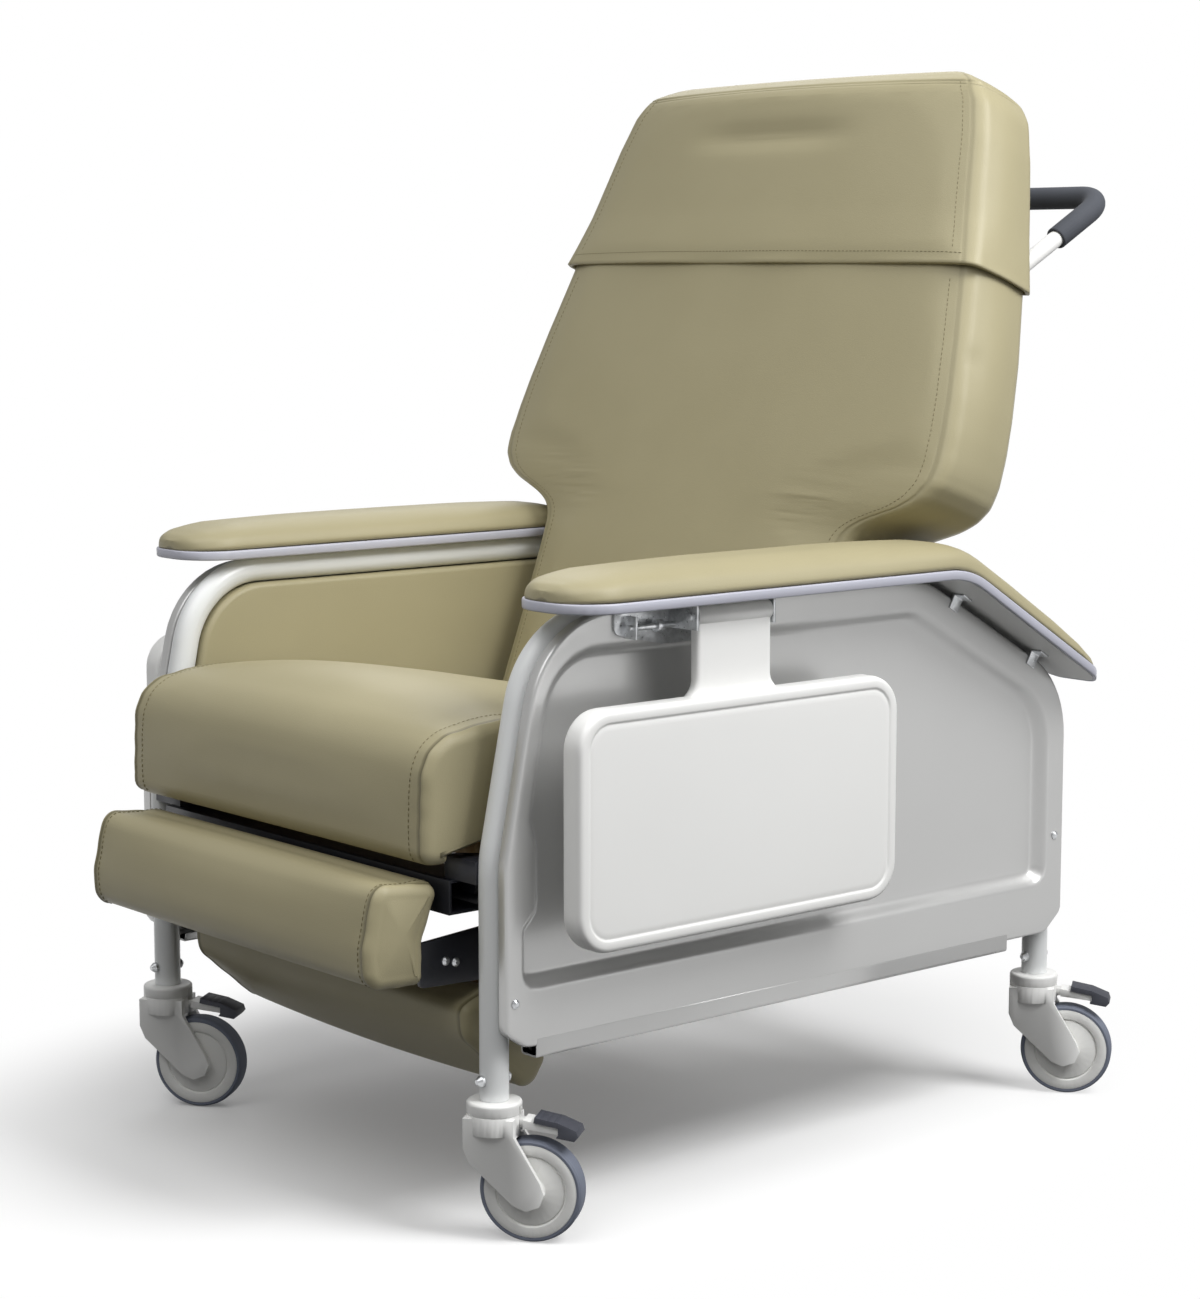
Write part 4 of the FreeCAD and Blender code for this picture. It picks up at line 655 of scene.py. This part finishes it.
def back_ring(*measures):
    """Ring round the back at each level, from half width, front and rear depth, crown and edge
    radius (arrays over levels): crowned front, rounded front edges, sides that swell a little and
    a flat rear. Returns across and depth, each (levels, points)."""
    half, front, rear, crown, corner = [np.asarray(v, float)[:, None] for v in measures]
    u = np.sin(np.linspace(-math.pi / 2, math.pi / 2, FRONT_N))[None]
    turn = np.linspace(0, math.pi / 2, CORNER_N)[None, 1:]
    t = np.linspace(0, 1, SIDE_N)[None, 1:]
    flat = half - corner
    front_x, front_y = u * flat, front - crown * (1 - u ** 2) ** 0.8
    edge_x, edge_y = flat + corner * np.sin(turn), front + corner * (1 - np.cos(turn))
    side_x = half + 3.5 * np.sin(math.pi * t)
    side_y = front + corner + t * (rear - 8 - front - corner)
    rear_u = np.linspace(1, -1, REAR_N)[None, :]
    rear_x, rear_y = rear_u * (half - 6), rear + 0 * rear_u
    x = np.concatenate([front_x, edge_x, side_x, rear_x, -side_x[:, ::-1], -edge_x[:, ::-1]], 1)
    y = np.concatenate([front_y, edge_y, side_y, rear_y, side_y[:, ::-1], edge_y[:, ::-1]], 1)
    return x, y


def seam_weight(x, half, corner):
    """Weight of the two front seams round each ring: 1 on a line where the rounded edge begins,
    gone 4 mm from it."""
    gap = np.abs(np.abs(x) - np.asarray(half - corner)[:, None] - 1.5)
    column = np.arange(x.shape[1])
    front = (column < FRONT_N + CORNER_N // 2) | (column >= x.shape[1] - CORNER_N // 2)
    return np.exp(-(gap / 2.0) ** 2) * front


def back_rows(low, high, step):
    """Levels along the back, closer where the wings flare and at both ends."""
    coarse = np.arange(low, high, step)
    flare = np.array([])
    if low < FLARE_HIGH:
        flare = np.arange(max(low, FLARE_LOW), min(high, FLARE_HIGH), step / 3)
    low_end = low + LOW_ROUND * (1 - np.cos(np.linspace(0, math.pi / 2, 9)))
    high_end = high - TOP_ROUND * (1 - np.sin(np.linspace(0, math.pi / 2, 14)))
    return np.unique(np.round(np.concatenate([coarse, flare, low_end, high_end, [low, high]]), 3))


def back_depths(level):
    """Front and rear depth, crown and edge radius at each level, rounded off towards both ends."""
    top = np.clip((level - TOP_START) / TOP_ROUND, 0, 1)
    bottom = np.clip((BACK_LOW + LOW_ROUND - level) / LOW_ROUND, 0, 1)
    end = TOP_ROUND * (1 - np.sqrt(1 - top ** 2)) + 14 * (1 - np.sqrt(1 - bottom ** 2))
    thick = np.interp(level, [BACK_LOW, 130, HEM, 290, 360, BACK_TOP], [100, 100, 98, 92, 85, 82])
    crown = 16 * (1 - 0.75 * np.maximum(top, bottom) ** 2)
    return 6 + end, thick - 0.3 - 0.8 * end, crown, 18 - 15 * top ** 2


def back_surface(level):
    """Skin of the back at the given levels, with sunken seams and slow swells, and the depth of
    its seams."""
    front, rear, crown, corner = back_depths(level)
    half = back_width(level) - top_draw(level)
    x, y = back_ring(half, front, rear, crown, corner)
    sink = seam_weight(x, half, corner) * np.clip((level - BACK_LOW) / 12, 0, 1)[:, None]
    grid = lean_back(x, y + sink * 1.5, np.broadcast_to(level[:, None], x.shape))
    swell = ripple(grid, 210, 11) * np.clip(1 - np.abs(x) / 420, 0, 1)
    lift = np.where(y < 40, -1.2 * swell, 0)
    grid += lift[..., None] * np.array([0, math.cos(LEAN), -math.sin(LEAN)])
    return grid, sink


def cover_surface():
    """Slip cover: the back's skin swollen by its thickness, standing off a little more at the hem,
    with the hem turned inside and a shallow pull across the head; and the depth of its seams."""
    rise = np.concatenate([[HEM + 9, HEM + 5, HEM + 1.5], [HEM, HEM, HEM + 1],
                           np.arange(HEM + 4, TOP_START, 8), back_rows(TOP_START, BACK_TOP, 6.0)])
    stand_off = np.interp(rise[COVER_TURN:], [HEM + 4, HEM + 60, BACK_TOP], [6.6, 4.4, 4.2])
    grow = np.concatenate([[1.4, 1.3, 1.3], [2.0, 5.2, 6.4], stand_off])
    front, rear, crown, corner = back_depths(rise)
    half = back_width(np.clip(rise, None, BACK_TOP - 1)) - top_draw(rise)
    x, y = back_ring(half + grow, front - grow, rear + np.minimum(grow, 3.5), crown, corner)
    outside = grow[:, None] > 3
    above_hem = rise[:, None] - HEM
    sink = seam_weight(x, half + grow, corner) * outside
    thicker = grow * np.clip((rise - 422) / 10, 0, 1)
    level = np.broadcast_to(rise[:, None], x.shape) + thicker[:, None]
    droop = -5.0 * (1 - (x / 340) ** 2) * np.exp(-above_hem / 30)
    pull = np.exp(-((level - 352) / 13) ** 2) * np.exp(-(np.abs(x + 10) / 110) ** 4)
    wave = np.sin(x / 36.0 + 0.6 * np.sin(x / 90)) * np.exp(-above_hem / 26) * outside
    depth = y + sink * 1.1 + (y < 30) * (6.5 * pull - 1.3 * wave)
    return lean_back(x, depth, level + np.where(y < 60, droop, 0)), sink


back_levels = back_rows(BACK_LOW, BACK_TOP, 9.0)
back_grid, back_seam = back_surface(back_levels)
back_held = back_seam.copy()
back_held[:, REAR] = 1
back_held[back_levels > HEM + 12] = 1
at_flare = np.exp(-((back_levels - FLARE_MIDDLE) / 60) ** 4)[:, None]
back_held = np.maximum(back_held,
                       at_flare * np.clip((np.abs(back_grid[..., 0]) - 190) / 110, 0, 1))
back_grid = settle(back_grid, np.maximum(back_seam, eased(back_held, 2, 6)), slack=2, limit=4)
# The back's seam depths paint shade along its seams, at half strength
skin("back_upholstery", back_grid, "back", ("back_cushion",), 0.5 * back_seam)

cover, cover_seam = cover_surface()
cover_held = cover_seam.copy()
cover_held[:, REAR] = 1
cover_held[:COVER_TURN] = 1
cover_held[-13:] = 1
cover = settle(cover, np.maximum(cover_held, eased(cover_held, 8, 3)), slack=1.2, limit=3)
# The cover's seam depths paint shade along its seams, at 0.35 of their strength
skin("head_cover_vinyl", cover, "back", ("head_cover",), 0.35 * cover_seam)

below_hem = np.nonzero((back_levels > -300) & (back_levels < HEM - 6))[0]
facing = np.array([[0, -math.cos(LEAN), math.sin(LEAN)]])
for side, column in zip(SIDES, (FRONT_N - 6, 5)):
    for part, path in (("_back", back_grid[below_hem[0]:below_hem[-1], column]),
                       ("_cover", cover[8:-14, column])):
        stitches(side + part + "_stitches", path, np.repeat(facing, len(path), 0), "back")
stitches("hem_stitches", cover[COVER_TURN + 1, 2:FRONT_N - 2],
         np.repeat(facing, FRONT_N - 4, 0), "back")


# Arm pads: crowned along the bent board, with rounded ends

BOARD_TOP, ARM_FALL, BEND_RADIUS = 618.3, math.atan(126 / 222), 119.3
ARM_BEND = 168 + 24.3 * math.tan(ARM_FALL / 2)
ARM_FRONT, ARM_REAR = -355, 407
ARM_NOSE, ARM_TAIL, ARM_THICK = 50, 26, 28
PAD_LIFT, PAD_TUCK = 0.4, 0.985


def arm_level(y):
    """Height of the board's top along the arm: level, then an arc of the bend's radius, then
    straight down the slope."""
    start = ARM_BEND - BEND_RADIUS * math.tan(ARM_FALL / 2)
    past = np.clip(y - start, 0, BEND_RADIUS * math.sin(ARM_FALL))
    rest = np.clip(y - start - BEND_RADIUS * math.sin(ARM_FALL), 0, None)
    arc = np.sqrt(BEND_RADIUS ** 2 - past ** 2)
    return BOARD_TOP - BEND_RADIUS + arc - rest * math.tan(ARM_FALL)


def arm_edges(y):
    """Inner and outer edge of the pad at a station: rounded front, tapered and rounded rear."""
    inner = np.interp(y, [ARM_FRONT, 55, 160, ARM_REAR], [269, 269, 272, 289])
    outer = np.interp(y, [ARM_FRONT, 150, ARM_REAR], [387, 387, 372])
    front = np.clip((ARM_FRONT + ARM_NOSE - y) / ARM_NOSE, 0, 1)
    rear = np.clip((y - (ARM_REAR - ARM_TAIL)) / ARM_TAIL, 0, 1)
    pull = ARM_NOSE * (1 - np.sqrt(1 - front ** 2)) + ARM_TAIL * (1 - np.sqrt(1 - rear ** 2))
    return inner + pull, outer - pull


def arm_grid(sign):
    """Pad section at each station: flat below, sides that swell and a rounded crown, thinner
    towards both ends."""
    ends = np.linspace(0, math.pi / 2, 14)
    y = np.concatenate([ARM_FRONT + ARM_NOSE * (1 - np.cos(ends)),
                        np.linspace(ARM_FRONT + ARM_NOSE + 10, ARM_REAR - ARM_TAIL - 10, 64),
                        ARM_REAR - ARM_TAIL * (1 - np.sin(ends[4:]))])
    inner, outer = arm_edges(y)
    middle, wide = (inner + outer) / 2, (outer - inner) / 2
    along = [ARM_FRONT + v for v in (0, 7, 23, 58)] + [ARM_REAR - v for v in (150, 75, 24, 6, 0)]
    high = ARM_THICK * np.interp(y, along, [0.36, 0.58, 0.82, 1, 1, 0.88, 0.68, 0.5, 0.34])
    angle = np.linspace(0, math.pi, 34)
    lobe_x = np.sign(np.cos(angle)) * np.abs(np.cos(angle)) ** 0.62
    lobe_z = np.sin(angle) ** 0.72
    flat = np.linspace(-1, 1, 14)[1:-1]
    ring_x = np.concatenate([lobe_x, flat * PAD_TUCK])
    ring_z = np.concatenate([lobe_z, 0 * flat])
    tuck = np.where(ring_z < 0.18, PAD_TUCK, 1.0)
    x = middle[:, None] + wide[:, None] * (ring_x * tuck)[None]
    z = arm_level(y)[:, None] + PAD_LIFT + high[:, None] * ring_z[None]
    grid = np.stack([x, np.broadcast_to(y[:, None], x.shape), z], -1)
    grid[..., 2] += ripple(grid, 160, 21) * 0.5 * (ring_z > 0.5)
    return grid * [sign, 1, 1]


for side, sign in zip(SIDES, SIGNS):
    arm = arm_grid(sign)
    on_arm_board = 1.0 * (arm[..., 2] - arm[..., 2].min(1, keepdims=True) < 2)
    on_arm_board[:7] = on_arm_board[-6:] = 1
    arm = settle(arm, eased(on_arm_board, 3, 2), slack=2, limit=4)
    skin(side + "_arm_upholstery", arm, "base", (side + "_arm_pad",))


# Upholstered panels inside the side frames

PAD_LOOP = [(-373.6, 301, 6), (229, 301, 6), (229, 541.5, 8), (164.2, 578.6, 80),
            (-329.3, 578.6, 80), (-373.6, 368.5, 105)]
PAD_FACE, PAD_EDGE = 279, 6


def side_pad_grid(sign):
    """Vinyl over a board: the frame's opening drawn as a loop, rounded in at the seat's side and
    closed by a low crown."""
    loop = rounded_loop(PAD_LOOP, 200)
    normal, middle = outward(loop), loop.mean(0)
    turn = np.linspace(0, math.pi / 2, 8)
    close = np.linspace(1, 0.03, 22)[1:]
    rear = [(299.6, 3.0, 1.0), (298.8, 0.6, 1.0), (292, 0.0, 1.0)]
    edge = [(PAD_FACE + PAD_EDGE - PAD_EDGE * math.sin(t), PAD_EDGE * (1 - math.cos(t)), 1.0)
            for t in turn]
    face = [(PAD_FACE - 1.0 * (1 - k ** 4), PAD_EDGE, k) for k in close]
    return np.array([upright(x * sign, shrunk(loop - normal * draw, k, middle))
                     for x, draw, k in rear + edge + face])


for side, sign in zip(SIDES, SIGNS):
    skin(side + "_side_pad_vinyl", side_pad_grid(sign), "base", (side + "_inner_panel",))


# Side panels: pressed sheet with a rolled edge, a drawn recess and a hooked lower lip

PANEL_IN, PANEL_DEEP, PANEL_FLOOR = 311, 15, 2
PANEL_RIM = [(-372, 190, 8), (372, 190, 8), (398.5, 212, 10), (398.5, 473, 103),
             (170, 602.5, 103), (-349.5, 602.5, 103), (-397, 371, 120), (-397, 207, 10)]
PANEL_RECESS = [(-377, 248, 16), (369, 248, 20), (369, 452, 80), (158, 570, 60),
                (-339.9, 570, 70), (-368, 409, 10), (-361, 385, 9), (-361, 322, 11),
                (-377, 308, 11)]
PANEL_MIDDLE = np.array([0.0, 400.0])
# How far out from the frame and in from the outline the sheet's rolled edge runs
PANEL_ROLL = ((0.4, 3), (0.6, 1.4), (1.4, 0.4), (3, 0), (11.5, 0), (13.6, 0.5), (14.6, 1.6),
              (PANEL_DEEP, 3.6))
WALL_OUT, WALL_IN = 5, 14
LIP = [(-10, 188, 0.5), (-10, 178, 4), (15.2, 178, 4), (15.2, 198, 0.8), (13, 198, 0.8),
       (13, 180, 2), (-8, 180, 2), (-8, 188, 0.5)]
LIP_ENDS = (-360, 308)


def by_bearing(loop, count=420):
    """Loop read off at even bearings about the panel's middle, so that two loops can be joined
    ring to ring."""
    arm = resample(loop, 4000) - PANEL_MIDDLE
    bearing = np.arctan2(arm[:, 1], arm[:, 0])
    order = np.argsort(bearing)
    even = np.linspace(-math.pi, math.pi, count, endpoint=False)
    reach = np.interp(even, bearing[order], np.linalg.norm(arm, axis=1)[order],
                      period=2 * math.pi)
    return PANEL_MIDDLE + reach[:, None] * np.stack([np.cos(even), np.sin(even)], -1)


def panel_shell(sign):
    """Rings from the back of the sheet round its rolled edge, over the flat rim, down the drawn
    wall in a smooth step and across the recess floor. Each ring is a loop at one distance out
    from the frame."""
    rim = by_bearing(rounded_loop(PANEL_RIM, 900))
    recess = by_bearing(rounded_loop(PANEL_RECESS, 900))
    rim_out, recess_out = outward(rim), outward(recess)
    rings = [(PANEL_ROLL[0][0], shrunk(rim, k, PANEL_MIDDLE)) for k in (0.05, 0.5, 0.9)]
    rings += [(x, rim - rim_out * draw) for x, draw in PANEL_ROLL]
    flat, foot = rings[-1][1], recess + recess_out * WALL_OUT
    rings += [(PANEL_DEEP, flat + share * (foot - flat)) for share in (0.3, 0.6, 0.85)]
    for t in np.linspace(0, 1, 15):
        step = 1 - t * t * t * (10 - 15 * t + 6 * t * t)
        rings.append((PANEL_FLOOR + (PANEL_DEEP - PANEL_FLOOR) * step,
                      recess + recess_out * (WALL_OUT - (WALL_OUT + WALL_IN) * t)))
    floor = rings[-1][1]
    rings += [(PANEL_FLOOR, shrunk(floor, k, PANEL_MIDDLE))
              for k in (0.97, 0.9, 0.7, 0.45, 0.2, 0.04)]
    return np.array([upright(sign * (PANEL_IN + x), loop) for x, loop in rings])


def lip_shell(sign):
    """Hooked lip: the panel's face carried down, turned in under the frame and up again, drawn
    along the lower edge."""
    hook = rounded_loop(LIP, 110)
    return np.array([np.column_stack([sign * (PANEL_IN + hook[:, 0]), np.full(len(hook), y),
                                      hook[:, 1]]) for y in LIP_ENDS])


for side, sign in zip(SIDES, SIGNS):
    points, faces = joined(shell(panel_shell(sign)), shell(lip_shell(sign)))
    body_mesh(side + "_pressed_panel", place(points), faces, SILVER, "base",
              (side + "_outer_panel",))


# Side trays: moulded slab with a beaded border, neck and knuckle in one moulding

TRAY_FACE, TRAY_BACK = 385, 357
TRAY_LOOP = [(-356, 285, 38), (70, 285, 38), (70, 518, 38), (-356, 518, 38)]
# Out from the face's plane and in from the outline: round the edge, over the bead and a groove
TRAY_EDGE = ((-28, 7), (-27, 3), (-25, 0.8), (-22, 0), (-7, 0), (-4, 0.5), (-1.8, 1.6),
             (-0.5, 3.4), (0, 5.5), (0, 10.5), (-0.3, 11.8), (-1.1, 12.7), (-1.5, 13.6),
             (-1.2, 14.8), (-0.8, 16.5), (-0.7, 20))
NECK_FRONT, NECK_REAR, NECK_THICK, NECK_ROUND = -194, -96, 12, 3.5
NECK_LEVELS = np.array([511, 514, 517, 519, 522, 526, 532, 540, 560, 590, 596])
PIN_X, PIN_Z, PIN_HOLE, KNUCKLE, KNUCKLE_EASE = 362, 595, 4.15, 10, 0.8


def tray_shell(sign):
    """Rings of the slab's rounded outline from its flat back round the full edge, over the bead
    and into the shallow face."""
    outline = rounded_loop(TRAY_LOOP, 260)
    out, middle = outward(outline), outline.mean(0)
    edge = [(TRAY_FACE + x, outline - out * draw) for x, draw in TRAY_EDGE]
    back = [(TRAY_BACK, shrunk(edge[0][1], k, middle)) for k in (0.04, 0.5, 0.96)]
    face = [(edge[-1][0], shrunk(edge[-1][1], k, middle)) for k in (0.85, 0.5, 0.04)]
    return np.array([upright(sign * x, loop) for x, loop in back + edge + face])


def neck_shell(sign):
    """Upright plate of rounded section that flares into the slab at its foot."""
    flare = 11 * np.clip((532 - NECK_LEVELS) / 16, 0, 1) ** 2
    rows = []
    for z, wide in zip(NECK_LEVELS, flare):
        front, rear, outer = NECK_FRONT - wide, NECK_REAR + wide, TRAY_BACK + NECK_THICK
        loop = rounded_loop([(x, y, NECK_ROUND) for x, y in (
            (TRAY_BACK, front), (outer, front), (outer, rear), (TRAY_BACK, rear))], 80)
        rows.append(np.column_stack([sign * loop[:, 0], loop[:, 1], np.full(len(loop), z)]))
    return np.array(rows)


def knuckle_shell(sign):
    """Hollow knuckle on the hinge pin: one ring section carried round the pin, over the front
    end, outside, over the rear end and inside."""
    turn = np.linspace(0, 2 * math.pi, 48, endpoint=False)
    eased_end = KNUCKLE - KNUCKLE_EASE
    section = [(PIN_HOLE, NECK_FRONT), (eased_end, NECK_FRONT),
               (KNUCKLE, NECK_FRONT + KNUCKLE_EASE), (KNUCKLE, NECK_REAR - KNUCKLE_EASE),
               (eased_end, NECK_REAR), (PIN_HOLE, NECK_REAR), (PIN_HOLE, NECK_FRONT)]
    return np.array([np.column_stack([sign * (PIN_X + r * np.cos(turn)), np.full(turn.size, y),
                                      PIN_Z + r * np.sin(turn)]) for r, y in section])


for side, sign in zip(SIDES, SIGNS):
    points, faces = joined(shell(tray_shell(sign)), shell(neck_shell(sign)),
                           shell(knuckle_shell(sign), False))
    body_mesh(side + "_moulded_tray", place(points), faces, ABS, side + "_tray",
              (side + "_tray",), weld=True)


# Camera, floor and light, in metres

AZIMUTH, PITCH = math.radians(49.76), math.radians(7.61)
PHOTO_HIGH, FOCAL_PIXELS, SENSOR = 1299, 2865.5, 36
FLOOR_REACH = 30
# The floor's shadow is kept round this oval about the chair and fades to white beyond it
SHADOW_SHIFT, SHADOW_SCALE, SHADOW_KEPT, SHADOW_GONE = (0.096, 0.068, 0), (1.2, 0.85, 1), 0.43, 0.76


def turned_to(ahead):
    """Rotation of a camera or lamp that looks along a direction."""
    return ahead.to_track_quat("-Z", "Y").to_euler()


view = bpy.data.cameras.new("camera")
view.sensor_fit = "VERTICAL"
view.sensor_height = SENSOR
view.lens = FOCAL_PIXELS / PHOTO_HIGH * SENSOR
camera = linked("camera", view)
camera.rotation_euler = turned_to(Vector((-math.sin(AZIMUTH) * math.cos(PITCH),
                                          math.cos(AZIMUTH) * math.cos(PITCH), -math.sin(PITCH))))
camera.location = (2.4019, -2.0384 - SPAN_SHIFT * MM, 0.930)
bpy.context.scene.camera = camera
bpy.context.scene.view_settings.view_transform = "Standard"


def either(tree, first, second):
    """1 where either of two (node, output) pairs is 1."""
    return (add(tree, "ShaderNodeMath", {0: first, 1: second}, operation="MAXIMUM"), 0)


def floor_finish():
    """Pale seamless paper: matt, and white to the camera apart from the shadow that it keeps."""
    material = bpy.data.materials.new("pale_paper")
    tree = bare_tree(material)
    path = add(tree, "ShaderNodeLightPath")
    seen = either(tree, either(tree, (path, "Is Camera Ray"), (path, "Is Glossy Ray")),
                  (path, "Is Transmission Ray"))
    dull = add(tree, "ShaderNodeBsdfDiffuse", {"Color": linear("#383838")})
    pale = add(tree, "ShaderNodeBsdfDiffuse", {"Color": linear("#F0F0F0")})
    glow = add(tree, "ShaderNodeEmission", {"Strength": 0.10})
    bright = add(tree, "ShaderNodeAddShader", {0: (pale, 0), 1: (glow, 0)})
    coords = add(tree, "ShaderNodeTexCoord")
    from_chair = add(tree, "ShaderNodeMapping", {"Vector": (coords, "Object"),
                                                 "Location": SHADOW_SHIFT, "Scale": SHADOW_SCALE})
    away = add(tree, "ShaderNodeVectorMath", {0: (from_chair, 0)}, operation="LENGTH")
    far = add(tree, "ShaderNodeMapRange", {"Value": (away, "Value"), "From Min": SHADOW_KEPT,
                                           "From Max": SHADOW_GONE},
              interpolation_type="SMOOTHSTEP")
    white = add(tree, "ShaderNodeEmission", {"Strength": 1.0})
    paper = add(tree, "ShaderNodeMixShader", {0: (far, "Result"), 1: (bright, 0), 2: (white, 0)})
    both = add(tree, "ShaderNodeMixShader", {0: seen, 1: (dull, 0), 2: (paper, 0)})
    add(tree, "ShaderNodeOutputMaterial", {"Surface": (both, 0)})
    return material


floor_mesh = bpy.data.meshes.new("floor")
floor_mesh.from_pydata([(FLOOR_REACH * x, FLOOR_REACH * y, 0)
                        for x, y in ((-1, -1), (1, -1), (1, 1), (-1, 1))], [], [(0, 1, 2, 3)])
floor_mesh.materials.append(floor_finish())
floor = linked("floor", floor_mesh)

# White sky to the camera, dimmer as a light and in reflections
world = bpy.data.worlds.new("studio")
bpy.context.scene.world = world
sky = bare_tree(world)
rays = add(sky, "ShaderNodeLightPath")
dim = spread(sky, (rays, "Is Glossy Ray"), 0.30, 0.5)
direct = either(sky, (rays, "Is Camera Ray"), (rays, "Is Transmission Ray"))
strength = add(sky, "ShaderNodeMix", {0: direct, 2: (dim, "Result"), 3: 1.0})
haze = add(sky, "ShaderNodeBackground", {"Color": (1, 1, 1, 1), "Strength": (strength, 0)})
add(sky, "ShaderNodeOutputWorld", {"Surface": (haze, 0)})


def softbox(name, spot, aim, size, power):
    """Square soft lamp at a spot, turned towards a point."""
    lamp = bpy.data.lights.new(name, "AREA")
    lamp.size = size
    lamp.energy = power
    stand = linked(name, lamp)
    stand.location = spot
    stand.rotation_euler = turned_to(Vector(aim) - Vector(spot))


softbox("overhead", (0.5, -1.4, 2.8), (0, 0, 0.7), 2.4, 42)
softbox("side", (2.1, 0.6, 2.7), (0.2, 0.1, 0.5), 1.4, 80)
softbox("low", (2.4, 1.0, 0.7), (0.3, 0, 0.3), 1.0, 4)
softbox("fill", (-2.2, 1.8, 2.4), (0, 0.1, 0.6), 1.8, 14)
